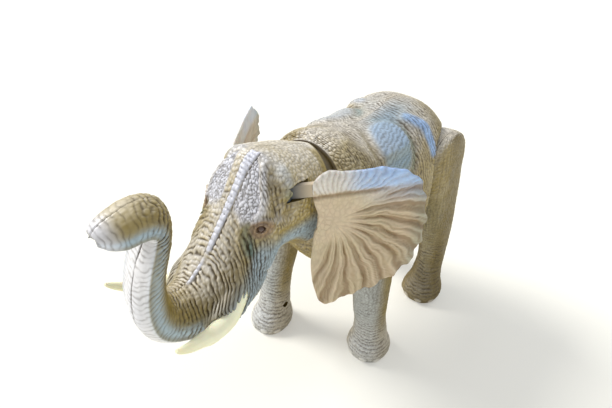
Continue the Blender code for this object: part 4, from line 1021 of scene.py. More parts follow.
def head_place(side, shares):
    across, ahead, rise = shares
    return np.array([side * HEAD["width"] * across, NECK[1] - HEAD["length"] * ahead,
                     NECK[2] + HEAD["height"] * rise])


def ear_axes(side):
    """The root, the directions along and up the plate, its front normal and its hinge."""
    root = head_place(side, ear_root_shares)
    along = np.array([side * math.sin(EAR_SPREAD), math.cos(EAR_SPREAD), 0])
    ahead = np.array([side * math.cos(EAR_SPREAD), -math.sin(EAR_SPREAD), 0])
    rise = np.array([0, 0, 1.0])
    normal = ahead * math.cos(EAR_LEAN) + rise * math.sin(EAR_LEAN)
    up = -ahead * math.sin(EAR_LEAN) + rise * math.cos(EAR_LEAN)
    return root, along, up, normal, root - along * HINGE_DEPTH


print("the left ear turns about", ear_axes(1)[4].round(2), "mm")


# %% The relief of an ear and its plate
def ear_relief(angle, share, rise):
    """How far the plate's middle stands forward: ribs, rolled top band and cupped margin."""
    fan = between(angle, -112, -102) * (1 - between(angle, 6, 22))
    bent = angle + 22 * share
    waves = np.cos(np.radians(bent) * RIBS * 2) + 0.45 * np.cos(np.radians(bent) * RIBS * 5)
    ribs = 0.015 * share ** 1.4 * waves * fan
    band = np.exp(-((rise - 0.42) / 0.13) ** 2) * 0.055 * np.minimum(1, share * 2)
    return EAR_RADIUS * (ribs + band - 0.05 * share ** 2)


def ear_detail(angle, share, rise, at, seed):
    """Fine ridges, in mm, how deep the wash lies in them, which is also painted shade, and the mask of the top
    band.
    """
    warp = 4.5 * noise(at, 13, seed) + 2.4 * noise(at, 5, seed + 1)
    fade = between(share, 0.10, 0.38)
    fan = between(angle, -115, -98) * (1 - between(angle, 12, 28))
    bent = angle + 22 * share
    valleys = groove(np.radians(bent + 0.35 * warp) * RIBS * 2 / (2 * math.pi) + 0.5, 0.20) * fan
    middle_ribs = groove((bent + warp * 0.7) / 5.6, 0.22) * fan
    fine_ribs = groove((bent + warp) / 2.6, 0.22) * fan * between(share, 0.35, 0.6)
    veins = between(cracks(at * np.array([1, 1, 0.75]), 2.6, seed + 3), 0.2, 0.9) * (1 - 0.5 * fan * fade)
    top = between(rise, 0.25, 0.33)
    strokes = groove((angle + 1.0 * warp) / 6.4, 0.21) * top * between(share, 0.2, 0.35)
    side_lines = groove((angle + warp) / 4.0, 0.22) * between(angle, 10, 22)
    side_lines = side_lines * between(share, 0.45, 0.6) * (1 - top)
    fold_place = 0.265 + 0.012 * noise(at, 9, seed + 5)
    fold = np.exp(-((rise - fold_place) / 0.022) ** 2) * between(share, 0.12, 0.3) * between(angle, 22, 34)
    lift = -0.80 * valleys * fade - 0.55 * middle_ribs * fade - 0.25 * fine_ribs - 0.22 * veins
    lift += 0.16 * noise(at, 3.0, seed + 6) - 1.1 * fold - 0.80 * strokes - 0.45 * side_lines
    wash_and_shade = np.clip(0.75 * valleys * fade + 0.55 * middle_ribs * fade + 0.35 * fine_ribs + 0.20 * veins
                   + 0.60 * strokes + 0.5 * side_lines + 0.95 * fold, 0, 1)
    return lift, wash_and_shade, top


def ear_plate(name, side):
    root, along, up, normal, _ = ear_axes(side)
    middle = root + (along * ear_centre_shares[0] + up * ear_centre_shares[1]) * EAR_RADIUS
    outline = smooth_rows(ear_outline_shares, 8)
    spokes, hoops = int(400 * DENSITY), int(62 * DENSITY)
    angles = np.linspace(outline[0][0], outline[0][0] + 360, spokes, endpoint=False)
    radii = np.interp(angles, np.append(outline[:, 0], outline[0][0] + 360),
                      np.append(outline[:, 1], outline[0][1]))
    free = between(angles, -88, -62) * (1 - between(angles, 40, 60))
    bent = np.radians(angles + 22)
    nicks = 0.010 * np.cos(bent * RIBS * 2) + 0.004 * np.cos(bent * RIBS * 3.5 + 1)
    nicks = nicks + 0.0015 * np.cos(bent * 71)
    radii = radii * (1 + nicks * free)
    shares = (np.arange(1, hoops + 1) / hoops) ** 0.85
    angle, share = np.tile(angles, hoops), np.repeat(shares, spokes) * np.tile(radii, hoops)
    edge = np.repeat(shares, spokes)
    rise = share * np.sin(np.radians(angle))
    flat = middle + EAR_RADIUS * (np.outer(share * np.cos(np.radians(angle)), along) + np.outer(rise, up))
    relief = ear_relief(angle, share, rise)
    seed = 51 if side > 0 else 71
    half = EAR_THICKNESS / 2 * np.sqrt(np.clip(1 - np.clip((edge - 0.955) / 0.045, 0, 1) ** 2, 0, 1))
    still = 1 - between(edge, 0.93, 1.0)
    points, wash_and_shade, tops = [], [], []
    for face in (1, -1):
        lift, dark, top = ear_detail(angle, share, rise, flat, seed + (0 if face > 0 else 9))
        lift = lift * (1.0 if face > 0 else 0.6) * (0.35 + 0.65 * still)
        ring = flat + np.outer(relief + face * (half + lift), normal)
        points.append(np.vstack([middle + normal * face * EAR_THICKNESS / 2, ring]))
        wash_and_shade.append(np.append(0.2, dark))
        tops.append(np.append(0.0, top))
    count = 1 + hoops * spokes
    faces = []
    for start in (0, count):
        for k in range(spokes):
            faces.append((start, start + 1 + k, start + 1 + (k + 1) % spokes))
        for row in range(hoops - 1):
            a, b = start + 1 + row * spokes, start + 1 + (row + 1) * spokes
            faces += [(a + k, b + k, b + (k + 1) % spokes, a + (k + 1) % spokes) for k in range(spokes)]
    a, b = 1 + (hoops - 1) * spokes, count + 1 + (hoops - 1) * spokes
    faces += [(a + k, a + (k + 1) % spokes, b + (k + 1) % spokes, b + k) for k in range(spokes)]
    piece = new_piece(name, np.vstack(points), faces)
    at = np.vstack(points)
    blotch = noise(at, 14, 91) * 0.6 + noise(at, 5, 92) * 0.4
    colour = mixed(TAN, TAUPE, between(blotch, -0.5, 0.6) * 0.6)
    colour = mixed(colour, SPRAY, np.concatenate(tops) * 0.95)
    # The sky blue on the left ear is partly spray and partly painted sky reflection. The right ear is painted
    # paler throughout, with less blue and a lighter wash, as painted light.
    band_blue, corner_blue, darkness = (0.85, 0.7, 0.75) if side > 0 else (0.2, 0.1, 0.35)
    far = between((at - middle) @ along, 2, 24)
    colour = mixed(colour, SKY, np.concatenate(tops) * far * between(blotch, -1.2, 0.0) * band_blue)
    edge_share = np.concatenate([[0], edge, [0], edge])
    right = between((at - middle) @ along, 38, 56)
    colour = mixed(colour, TEAL, right * between(edge_share, 0.75, 1.0) * 0.45)
    across, above = ((at - middle) @ along) / EAR_RADIUS, ((at - middle) @ up) / EAR_RADIUS
    corner = between(across + 0.1 * blotch, 0.15, 0.75) * between(above, 0.0, 0.35)
    # The sky blue corner is partly paint and partly painted reflection
    colour = mixed(colour, SKY, corner * corner_blue)
    # Brown wash in the ribs' valleys and folds, partly paint and partly painted shade
    colour = mixed(colour, EAR_BROWN, np.concatenate(wash_and_shade) * (darkness - 0.35 * np.concatenate(tops)))
    keep_paint(piece, colour)
    return piece


BOX_CORNERS = ((-1, -1), (1, -1), (1, 1), (-1, 1))
BOX_FACES = [(0, 1, 2, 3), (4, 5, 6, 7), (0, 1, 5, 4), (1, 2, 6, 5), (2, 3, 7, 6), (3, 0, 4, 7)]


def upright_rod(middle, height, radius, count):
    upright = np.array([0, 0, 1.0])
    return rod(middle - upright * height / 2, upright, height, radius, count)


def ear_block(side, width, height, start, stop):
    """A block on the ear's middle line, from start to stop along it from the hinge."""
    _, along, _, _, hinge = ear_axes(side)
    across = np.cross(along, (0, 0, 1.0))
    corners = [hinge + along * distance + across * a * width / 2 + np.array([0, 0, b * height / 2])
               for distance in (start, stop) for a, b in BOX_CORNERS]
    return new_piece("block", corners, BOX_FACES, smooth=False)


def make_ear(word, side):
    plate = ear_plate(f"ear_{word}_plate", side)
    hinge = ear_axes(side)[4]
    combine(plate, ear_block(side, TAB_THICKNESS, TAB_HEIGHT, 0, HINGE_DEPTH + 4), "UNION")
    combine(plate, upright_rod(hinge, BARREL_HEIGHT, BARREL_RADIUS, 48), "UNION")
    combine(plate, upright_rod(hinge, BARREL_HEIGHT * 2, EAR_PIN_RADIUS + 0.3, 32))
    return plate


ears = {word: make_ear(word, side) for word, side in SIDES.items()}
for word, piece in ears.items():
    print(word, "ear", len(piece.data.polygons), "faces,", [a.name for a in piece.data.attributes][:6])

# %% [markdown]
# ## Tusks, eyes, tail and screws
#
# The tusks are plain curved cones with faint growth lines. The eyes are glossy balls that sit in
# the sockets of the lids. The tail ends in a tuft with grooves for the hair. One cross screw is
# modelled with its thread and its recess, and the others are copies of it.

# %% Tusks
TUSK_LENGTH, TUSK_RADIUS = 50.0, 6.0
TUSK_SEAT, TUSK_BOSS = 9.0, 9.0
tusk_shares = [
    (-0.150, -0.040, 0.110, 0.98), (0.000, 0.000, 0.000, 1.00), (0.190, 0.050, -0.120, 0.95),
    (0.440, 0.100, -0.115, 0.80), (0.610, 0.150, -0.015, 0.64), (0.780, 0.200, 0.085, 0.46),
    (0.900, 0.230, 0.175, 0.30), (0.950, 0.240, 0.225, 0.14),
]
tusk_root_shares = (0.600, 0.583, -0.275)


def tusk_line(side, steps):
    root = head_place(side, tusk_root_shares)
    rows = [(*(root + np.array([side * outward, -forward, rise]) * TUSK_LENGTH), TUSK_RADIUS * thickness)
            for forward, outward, rise, thickness in tusk_shares]
    return smooth_rows(rows, steps)


def tube(rows, count, carve=None, first_axis=None):
    """Rings round a line of rows (X, Y, Z, radius). Carve changes a ring's radii."""
    places = rows[:, :3]
    ahead = np.gradient(places, axis=0)
    ahead /= np.linalg.norm(ahead, axis=1)[:, None]
    if first_axis is not None:
        ahead[:3] = first_axis
    turn = np.linspace(0, 2 * math.pi, count, endpoint=False)
    rings = []
    for k, (place, forward) in enumerate(zip(places, ahead)):
        side_way = np.cross(forward, (0, 0, 1.0)) if abs(forward[2]) < 0.9 else np.array([1.0, 0, 0])
        side_way /= np.linalg.norm(side_way)
        up_way = np.cross(side_way, forward)
        reach = np.full(count, rows[k, 3])
        if carve is not None:
            reach = reach + carve(k, turn)
        rings.append(place + np.outer(reach * np.cos(turn), side_way)
                     + np.outer(reach * np.sin(turn), up_way))
    return rings


def tusk_solid(side, spare, steps, count, carve=None):
    rows = tusk_line(side, steps)
    rows[:, 3] += spare
    if spare > 0:
        first = rows[1, :3] - rows[0, :3]
        rows[0, :3] -= first / np.linalg.norm(first) * spare
    return whole(tube(rows, count, carve))


tusks = {}
for word, side in SIDES.items():
    tusks[word] = tusk_solid(side, 0, 14, 56, lambda k, turn: (
        0.05 * np.sin(turn * 9 + k * 0.05) * (k > 16) + 0.04 * math.sin(k * 1.7) * (k > 16)))
    tusks[word].name = f"tusk_{word}_ivory"
    tusks[word].data.shade_smooth()
    print(tusks[word].name, len(tusks[word].data.polygons), "faces")

# %% Eyes
EYEBALL_RADIUS = 2.55


def make_eye(word, side):
    skin = head_skins[word]
    flip = np.array([side, 1, 1])
    centre = (skin.eye_place - skin.eye_normal * 2.3) * flip
    deselect()
    bpy.ops.mesh.primitive_uv_sphere_add(segments=48, ring_count=32, radius=EYEBALL_RADIUS * MM,
                                         location=place_points(centre))
    ball = bpy.context.active_object
    ball.name = ball.data.name = f"eye_{word}"
    bpy.ops.object.shade_smooth()
    ball.rotation_euler = Vector(skin.eye_normal * flip).to_track_quat("Z", "Y").to_euler()
    bpy.ops.object.transform_apply(location=True, rotation=True, scale=True)
    return ball


eyes = {word: make_eye(word, side) for word, side in SIDES.items()}
print("eyes at", [head_skins[word].eye_place.round(1) for word in SIDES])

# %% Tail
TAIL_LENGTH, TAIL_RADIUS = 85.0, 3.2
TAIL_SEAT, TAIL_HEIGHT = 123.5, 166.0
PEG_RADIUS, PEG_LENGTH = 1.8, 5.0
tail_shares = [
    (0.00, 0.00, 1.00), (0.11, -0.01, 1.05), (0.17, -0.12, 0.95), (0.18, -0.40, 0.75),
    (0.17, -0.66, 0.60), (0.16, -0.78, 0.75), (0.16, -0.88, 0.90), (0.16, -0.96, 0.40),
]
seat = (0.0, TAIL_SEAT + HINGE_GAP, TAIL_HEIGHT)
tail_rows = smooth_rows([(0.0, seat[1] + TAIL_LENGTH * back, seat[2] + TAIL_LENGTH * rise,
                          TAIL_RADIUS * width) for back, rise, width in tail_shares], 22)
peg_rows = np.array([(0, seat[1] - PEG_LENGTH, seat[2], PEG_RADIUS), (0, seat[1], seat[2], PEG_RADIUS)])
tail_rows = np.vstack([peg_rows, tail_rows])


def carve_tail(k, turn):
    """Rings of hide down the tail, and locks of hair in the tuft at its end."""
    if k < 3:
        return np.zeros(len(turn))
    share = k / len(tail_rows)
    tuft = float(between(share, 0.66, 0.76)) * (1 - float(between(share, 0.97, 1.0)))
    rings = -0.16 * (1 - tuft) * groove(np.array([k / 2.9 + 0.2 * math.sin(k)]), 0.25)[0]
    locks = -0.42 * groove(turn * 11 / (2 * math.pi) + 0.5 * math.sin(share * 22), 0.20)
    return rings + tuft * (locks + 0.12 * np.sin(turn * 3 + share * 40))


tail_rings = tube(tail_rows, 72, carve_tail, first_axis=np.array([0, 1.0, 0]))
tail_piece = whole(tail_rings)
tail_piece.name = "tail_and_tuft"
tail_piece.data.shade_smooth()
print("tail", len(tail_piece.data.polygons), "faces")

# %% Screws
HEAD_RADIUS, HEAD_RISE, SHAFT_RADIUS = 2.45, 2.2, 1.5
PITCH = 1.1


def model_screw(shaft_length):
    """A cross screw along +X with the underside of its head at the origin, in mm."""
    profile = [(-HEAD_RISE, 0.02), (-HEAD_RISE, HEAD_RADIUS * 0.80), (-HEAD_RISE * 0.93, HEAD_RADIUS * 0.93),
               (-HEAD_RISE * 0.72, HEAD_RADIUS), (-0.25, HEAD_RADIUS), (0.0, HEAD_RADIUS * 0.96),
               (0.0, SHAFT_RADIUS)]
    steps = np.arange(0.1, shaft_length - 2.0, PITCH / 8)
    turn = np.linspace(0, 2 * math.pi, 24, endpoint=False)
    rings = []
    for place, reach in profile:
        rings.append(np.stack([np.full(24, place), reach * np.cos(turn), reach * np.sin(turn)], axis=1))
    for place in steps:
        crest = np.abs(((place / PITCH + turn / (2 * math.pi)) % 1) - 0.5) * 2
        reach = SHAFT_RADIUS - 0.42 + 0.42 * between(crest, 0.35, 0.95)
        rings.append(np.stack([np.full(24, place), reach * np.cos(turn), reach * np.sin(turn)], axis=1))
    for place, reach in ((shaft_length - 1.4, SHAFT_RADIUS - 0.45), (shaft_length, 0.15)):
        rings.append(np.stack([np.full(24, place), reach * np.cos(turn), reach * np.sin(turn)], axis=1))
    screw = whole([ring - SHIFT for ring in rings])
    for width, height in ((0.62, 2.9), (2.9, 0.62)):
        outer = [(-HEAD_RISE - 0.2, a * width / 2, b * height / 2) for a, b in BOX_CORNERS]
        inner = [(-0.75, a * width / 2 * 0.75, b * height / 2 * 0.45) for a, b in BOX_CORNERS]
        combine(screw, new_piece("recess", np.array(outer + inner) - SHIFT, BOX_FACES, False))
    screw.data.shade_smooth()
    return screw


def place_screw(model, name, start, facing):
    """A copy of the modelled screw with its own mesh, at its place."""
    copy = model.copy()
    copy.data = model.data.copy()
    copy.name = copy.data.name = name
    bpy.context.scene.collection.objects.link(copy)
    turn = Matrix.Identity(4) if facing > 0 else Matrix.Rotation(math.pi, 4, "Z")
    copy.data.transform(Matrix.Translation(Vector(place_points(start))) @ turn)
    copy.data.update()
    return copy


SCREW_PLACE = 12.0
torso_screws = [(0.440, 0.460), (0.430, 0.910), (0.900, 0.700)]
head_screws = [(0.240, -0.080), (0.460, 0.020)]
ANKLE_DEPTH, ANKLE_HEIGHT, ANKLE_SHAFT = 7.0, 26.0, 15.0
torso_screws = [(NECK[1] + TORSO["length"] * a, TORSO["height"] * b) for a, b in torso_screws]
head_screws = [(NECK[1] - HEAD["length"] * a, NECK[2] + HEAD["height"] * b) for a, b in head_screws]


def ankle_place(end, side):
    (place, height), foot = LEGS[end]["pivot"], foot_place(end, side)
    return foot + (place - foot) * ANKLE_HEIGHT / height


long_screw = model_screw(20.0)
short_screw = model_screw(ANKLE_SHAFT)
screws = {}
for part, places in (("body", torso_screws), ("head", head_screws)):
    for k, (place, height) in enumerate(places, 1):
        screws[f"{part}_screw_{k}"] = place_screw(
            long_screw, f"{part}_cross_screw_{k}", (-SCREW_PLACE, place, height), 1)
for end in LEGS:
    for word, side in SIDES.items():
        start = (side * (LEG_MIDDLE - ANKLE_DEPTH), ankle_place(end, side), ANKLE_HEIGHT)
        screws[f"ankle_screw_{end}_{word}"] = place_screw(
            short_screw, f"ankle_cross_screw_{end}_{word}", start, side)
for model in (long_screw, short_screw):
    bpy.data.objects.remove(model)
print(len(screws), "screws")

# %% [markdown]
# ## Hollowing the head
#
# On the real toy the head is two thin moulded shells with posts inside: one round each screw, one
# under the ear's pin and a socket for the tusk. The space between the posts is made as one solid
# and taken away, and then come the holes, the ear's slot and the tusk's socket.


# %% Cavity and holes of a head half
def full_ring(maker):
    """A whole ring from its left and right halves."""
    left, right = maker(1)[0], maker(-1)[0]
    return np.vstack([left, right[-2:0:-1]])


def shell_piece(name, skin):
    """The carved skin as an object in the model's place, with its paint."""
    mesh = skin.mesh.copy()
    mesh.name = name
    mesh.vertices.foreach_set("co", place_points(skin.points).ravel())
    mesh.update()
    mesh.shade_smooth()
    piece = bpy.data.objects.new(name, mesh)
    bpy.context.scene.collection.objects.link(piece)
    keep_paint(piece, skin.colour)
    return piece


def screw_hole(piece, side, place, height):
    """A screw's bore, and on the right shell the deep recess of its head."""
    across = np.array([1.0, 0, 0])
    if side > 0:
        combine(piece, rod((-2, place, height), across, 12, SHAFT_RADIUS + 0.3, 24))
        return
    combine(piece, rod((2, place, height), -across, SCREW_PLACE + 4, SHAFT_RADIUS + 0.3, 24))
    combine(piece, rod((0.3 - SCREW_PLACE, place, height), -across, 50, HEAD_RADIUS + 0.3, 40))


def neck_bore(past):
    reach = BALL_RADIUS + past
    return rod(BALL_CENTRE - NECK_UP * reach, NECK_UP, reach * 2, 2.3, 24)


def post(cavity, side, place, height):
    combine(cavity, rod((-side * 4, place, height), (side, 0, 0), 100, 5, 24))


INNER_BALL = 26.5
HEAD_WALL = 5.5


def head_cavity(side):
    rings = [full_ring(lambda way: ball_arc(ahead, INNER_BALL, way, 24, sweep))
             for ahead, sweep in ((-BALL_SETBACK - 2, 0), (0, 0), (BALL_SETBACK + RIM_GAP, RIM_SWEEP))]
    for row in smooth_rows(head_rows[:21], 2):
        rings.append(full_ring(lambda way: section_arc(row, way, 24, HEAD_WALL)))
    cavity = whole(rings)
    hinge = ear_axes(side)[4]
    tall = EAR_PIN_LENGTH + 4
    combine(cavity, rod(hinge - np.array([0, 0, tall / 2]), (0, 0, 1), tall, 7.2, 32))
    line = tusk_line(side, 2)
    axis = line[2, :3] - line[0, :3]
    axis = axis / np.linalg.norm(axis)
    start = line[2, :3] - axis * (TUSK_SEAT + 2)
    combine(cavity, rod(start, axis, TUSK_SEAT * 2, TUSK_BOSS, 40))
    for place, height in head_screws:
        post(cavity, side, place, height)
    return cavity


def make_head(word, side):
    shell = shell_piece(f"head_{word}_hide", head_skins[word])
    combine(shell, head_cavity(side))
    combine(shell, neck_bore(2))
    for place, height in head_screws:
        screw_hole(shell, side, place, height)
    hinge = ear_axes(side)[4]
    combine(shell, upright_rod(hinge, BARREL_HEIGHT + 0.6, BARREL_RADIUS + 0.3, 48))
    combine(shell, upright_rod(hinge, EAR_PIN_LENGTH + 0.6, EAR_PIN_RADIUS + 0.3, 32))
    combine(shell, ear_block(side, SLOT_WIDTH, SLOT_HEIGHT, 0, HINGE_DEPTH * 2))
    combine(shell, tusk_solid(side, 0.3, 4, 40))
    return shell


head_shells = {word: make_head(word, side) for word, side in SIDES.items()}
for word, piece in head_shells.items():
    print(word, "head shell", len(piece.data.polygons), "faces")

# %% [markdown]
# ## Hollowing the torso
#
# The torso's shells hold the legs' wells, the hips' bores, the round neck socket, the posts of
# three screws and the tail's seat.

# %% Cavity, wells and holes of a torso half
TORSO_WALL = 4.6
WELL_FOOT, WELL_SPARE, WELL_WALL = 50.0, 1.5, 2.0
# Place, height, radius, room before and behind the leg at the well's foot, and where its arch ends
wells = {"front": (14.0, 132.0, 22.0, 4.0, 6.0, 0.0),
         "rear": (101.0, 150.0, 26.5, 7.0, 30.0, math.radians(60))}


def well_outline(place, height, radius, fore, rear, rear_top):
    outline = []
    for angle in np.linspace(rear_top, math.pi, 48):
        outline.append((place + radius * math.cos(angle), height + radius * math.sin(angle)))
    outline.append((place - radius - fore, WELL_FOOT))
    outline.append((place + radius + rear, WELL_FOOT))
    if rear_top > 0:
        outline.append((place + radius + rear, height + radius * math.sin(rear_top)))
    return outline


def torso_cavity(side):
    rings = [full_ring(lambda way: ball_arc(BALL_SETBACK - 8.0, BALL_RADIUS + 2.6, way, 24))]
    for row in smooth_rows(torso_rows[2:-1], 2):
        rings.append(full_ring(lambda way: section_arc(row, way, 24, TORSO_WALL)))
    cavity = whole(rings)
    for place, height in torso_screws:
        post(cavity, side, place, height)
    combine(cavity, rod((0, TAIL_SEAT - PEG_LENGTH, TAIL_HEIGHT), (0, 1, 0), 100, TAIL_RADIUS + 2, 32))
    for place, height, radius, fore, rear, top in wells.values():
        walled = well_outline(place, height, radius + WELL_SPARE + WELL_WALL, fore, rear, top)
        combine(cavity, prism(walled, side * (WELL_FLOOR - WELL_WALL), side * 100))
    return cavity


def make_torso(word, side):
    shell = shell_piece(f"torso_{word}_hide", torso_skins[word])
    combine(shell, torso_cavity(side))
    for place, height, radius, fore, rear, top in wells.values():
        outline = well_outline(place, height, radius + WELL_SPARE, fore, rear, top)
        combine(shell, prism(outline, side * WELL_FLOOR, side * 100))
        combine(shell, rod((side * (WELL_FLOOR - 6), place, height), (side, 0, 0), 10, 5.0, 40))
    socket = [full_ring(lambda way: ball_arc(BALL_SETBACK * share, BALL_RADIUS + 0.6, way, 64))
              for share in np.linspace(1.5, -2.1, 16)]
    combine(shell, whole(socket))
    combine(shell, neck_bore(2.6))
    for place, height in torso_screws:
        screw_hole(shell, side, place, height)
    combine(shell, rod((0, TAIL_SEAT - 10, TAIL_HEIGHT), (0, 1, 0), 15, PEG_RADIUS + 0.3, 24))
    combine(shell, rod((0, TAIL_SEAT, TAIL_HEIGHT), (0, 1, 0), 100, TAIL_RADIUS + 0.3, 40))
    return shell


torso_shells = {word: make_torso(word, side) for word, side in SIDES.items()}
for word, piece in torso_shells.items():
    print(word, "torso shell", len(piece.data.polygons), "faces")

# %% [markdown]
# ## Hollowing the legs
#
# Each leg is two thin shells with a post for the ankle screw. The inner shell also holds the hip
# pin, and its deep recess takes the screw's head.


# %% Cavity and holes of a leg half
def leg_cavity(end, side, layer):
    rows = leg_rows(end, side)
    rings = []
    for k, row in enumerate([rows[0]] + rows[2:-2]):
        widths = {side: row[4] - 3.0, -side: row[5] - 3.0}
        if row[1] > 70:
            widths[-side] = min(widths[-side], LEG_WIDTH - 3.0)
        lift = 2.5 if k == 0 else 0.0
        rings.append(full_ring(lambda way: half_oval(
            (0, row[0] + 3, row[1] + lift), (0, row[2] - 3, row[3] + lift), widths[way], row[6], way, 20,
            middle=side * LEG_MIDDLE)))
    cavity = whole(rings)
    facing = side * layer
    start = side * LEG_MIDDLE - facing * 4
    combine(cavity, rod((start, ankle_place(end, side), ANKLE_HEIGHT), (facing, 0, 0), 40, 5, 24))
    if layer < 0:
        place, height = LEGS[end]["pivot"]
        combine(cavity, rod((start, place, height), (facing, 0, 0), 40, 7, 32))
    return cavity


def make_leg_half(end, word, layer_word):
    side, layer = SIDES[word], 1 if layer_word == "outer" else -1
    facing, middle = side * layer, side * LEG_MIDDLE
    shell = shell_piece(f"leg_{end}_{word}_{layer_word}_hide", leg_skins[end, word, layer_word])
    combine(shell, leg_cavity(end, side, layer))
    place, height = LEGS[end]["pivot"]
    ankle = ankle_place(end, side)
    bore = ANKLE_SHAFT - ANKLE_DEPTH + 6
    if layer < 0:
        combine(shell, rod((middle - facing * 4, place, height), (facing, 0, 0), 40, 5.0, 40))
        combine(shell, rod((middle + facing * (ANKLE_DEPTH - 0.3), ankle, ANKLE_HEIGHT), (facing, 0, 0), 40,
                           HEAD_RADIUS + 0.3, 40))
        bore = ANKLE_DEPTH + 6
    combine(shell, rod((middle - facing * 4, ankle, ANKLE_HEIGHT), (facing, 0, 0), bore,
                       SHAFT_RADIUS + 0.3, 24))
    return shell


leg_shells = {key: make_leg_half(*key) for key in leg_skins}
print(len(leg_shells), "leg shells,", sum(len(p.data.polygons) for p in leg_shells.values()), "faces")

# %% [markdown]
# ## Paint on the pieces that have no skin table
#
# The tusks are ivory, yellower and darker underneath, partly as painted shade. Where a cut opened a
# shell, the bare plastic shows, and an ear's tab is painted dark near its hinge as the shade inside
# the slot.


# %% Last paint
def finish_paint(piece, bare, hinge=None):
    """Bare plastic where a cut made new points. An ear's tab is tan away from the hinge, and painted dark near
    it as the shade inside the slot.
    """
    mesh = piece.data
    values = np.zeros(len(mesh.vertices) * 4)
    mesh.attributes["paint"].data.foreach_get("color", values)
    values = values.reshape(-1, 4)
    painted = np.zeros(len(mesh.vertices))
    mesh.attributes["painted"].data.foreach_get("value", painted)
    values[painted < 0.5] = (*bare, 1)
    if hinge is not None:
        at = np.array([vertex.co for vertex in mesh.vertices]) / MM - SHIFT
        reach = np.hypot(at[:, 0] - hinge[0], at[:, 1] - hinge[1])
        values[(painted < 0.5) & (reach > HINGE_DEPTH * 0.6)] = (*TAN, 1)
    mesh.attributes["paint"].data.foreach_set("color", values.ravel())


def paint_tusk(piece):
    facing = point_normals(piece)
    at = np.array([vertex.co for vertex in piece.data.vertices]) / MM
    tip = between(-at[:, 1], 118, 142)
    # Yellower on what faces down: partly the ivory's tone and partly painted shade
    colour = mixed(IVORY, YELLOW, between(-facing[:, 2], -0.2, 0.9) * 0.75 + 0.25 * tip)
    keep_paint(piece, colour)


def paint_tail(piece):
    at, facing = np.array([vertex.co for vertex in piece.data.vertices]) / MM - SHIFT, point_normals(piece)
    blotch = noise(at, 9, 81)
    colour = mixed(hide_paint(facing, blotch), DARK_OLIVE, between(-at[:, 2], -112, -98) * 0.8)
    keep_paint(piece, colour)


for piece in [*head_shells.values(), *torso_shells.values(), *leg_shells.values()]:
    finish_paint(piece, DARK_OLIVE * 0.6)
for word, piece in ears.items():
    # The tab near the hinge gets painted shade, the dark inside the slot
    finish_paint(piece, SLOT_SHADE, ear_axes(SIDES[word])[4])
for piece in tusks.values():
    paint_tusk(piece)
paint_tail(tail_piece)
print("paint finished")

# %% [markdown]
# ## Materials
#
# Two effects are shared by all the plastics, so each is a node group: a fine moulded grain, and
# the soft unevenness of sprayed paint. The group gives values only, and the shader stays in each
# material.


# %% Node groups
def new_group(name, inputs, outputs):
    group = bpy.data.node_groups.new(name, "ShaderNodeTree")
    for title, kind, value in inputs:
        socket = group.interface.new_socket(title, in_out="INPUT", socket_type=kind)
        if value is not None:
            socket.default_value = value
    for title, kind in outputs:
        group.interface.new_socket(title, in_out="OUTPUT", socket_type=kind)
    return group, group.nodes.new("NodeGroupInput"), group.nodes.new("NodeGroupOutput")


def math_node(tree, operation, first, second, clamp=False):
    node = tree.nodes.new("ShaderNodeMath")
    node.operation = operation
    node.use_clamp = clamp
    for socket, value in zip(node.inputs, (first, second)):
        if isinstance(value, bpy.types.NodeSocket):
            tree.links.new(value, socket)
        elif value is not None:
            socket.default_value = value
    return node.outputs[0]


def make_grain_group():
    """Fine pits of moulded plastic and a slow waviness, as one height."""
    group, given, result = new_group(
        "moulded grain", [("Place", "NodeSocketVector", None), ("Fine Scale", "NodeSocketFloat", 900.0),
                          ("Depth", "NodeSocketFloat", 0.5)],
        [("Height", "NodeSocketFloat"), ("Speckle", "NodeSocketFloat")])
    fine = group.nodes.new("ShaderNodeTexNoise")
    fine.inputs["Detail"].default_value = 3.0
    group.links.new(given.outputs["Place"], fine.inputs["Vector"])
    group.links.new(given.outputs["Fine Scale"], fine.inputs["Scale"])
    slow = group.nodes.new("ShaderNodeTexNoise")
    slow.inputs["Detail"].default_value = 2.0
    group.links.new(given.outputs["Place"], slow.inputs["Vector"])
    group.links.new(math_node(group, "MULTIPLY", given.outputs["Fine Scale"], 0.22), slow.inputs["Scale"])
    both = math_node(group, "ADD", fine.outputs["Fac"], slow.outputs["Fac"])
    group.links.new(math_node(group, "MULTIPLY", both, given.outputs["Depth"]), result.inputs["Height"])
    group.links.new(fine.outputs["Fac"], result.inputs["Speckle"])
    return group


def make_spray_group():
    """Uneven spray: a colour shifted a little lighter and darker in soft spots."""
    group, given, result = new_group(
        "uneven spray", [("Place", "NodeSocketVector", None), ("Colour", "NodeSocketColor", None),
                         ("Scale", "NodeSocketFloat", 130.0), ("Amount", "NodeSocketFloat", 0.12)],
        [("Colour", "NodeSocketColor"), ("Spots", "NodeSocketFloat")])
    spots = group.nodes.new("ShaderNodeTexNoise")
    spots.inputs["Detail"].default_value = 5.0
    group.links.new(given.outputs["Place"], spots.inputs["Vector"])
    group.links.new(given.outputs["Scale"], spots.inputs["Scale"])
    centred = math_node(group, "SUBTRACT", spots.outputs["Fac"], 0.5)
    change = math_node(group, "MULTIPLY", centred, given.outputs["Amount"])
    bright = math_node(group, "MULTIPLY_ADD", change, 2.0)
    bright.node.inputs[2].default_value = 1.0
    shade = group.nodes.new("ShaderNodeVectorMath")
    shade.operation = "SCALE"
    group.links.new(given.outputs["Colour"], shade.inputs[0])
    group.links.new(bright, shade.inputs["Scale"])
    group.links.new(shade.outputs[0], result.inputs["Colour"])
    group.links.new(spots.outputs["Fac"], result.inputs["Spots"])
    return group


grain_group, spray_group = make_grain_group(), make_spray_group()
print("groups:", grain_group.name, "and", spray_group.name)


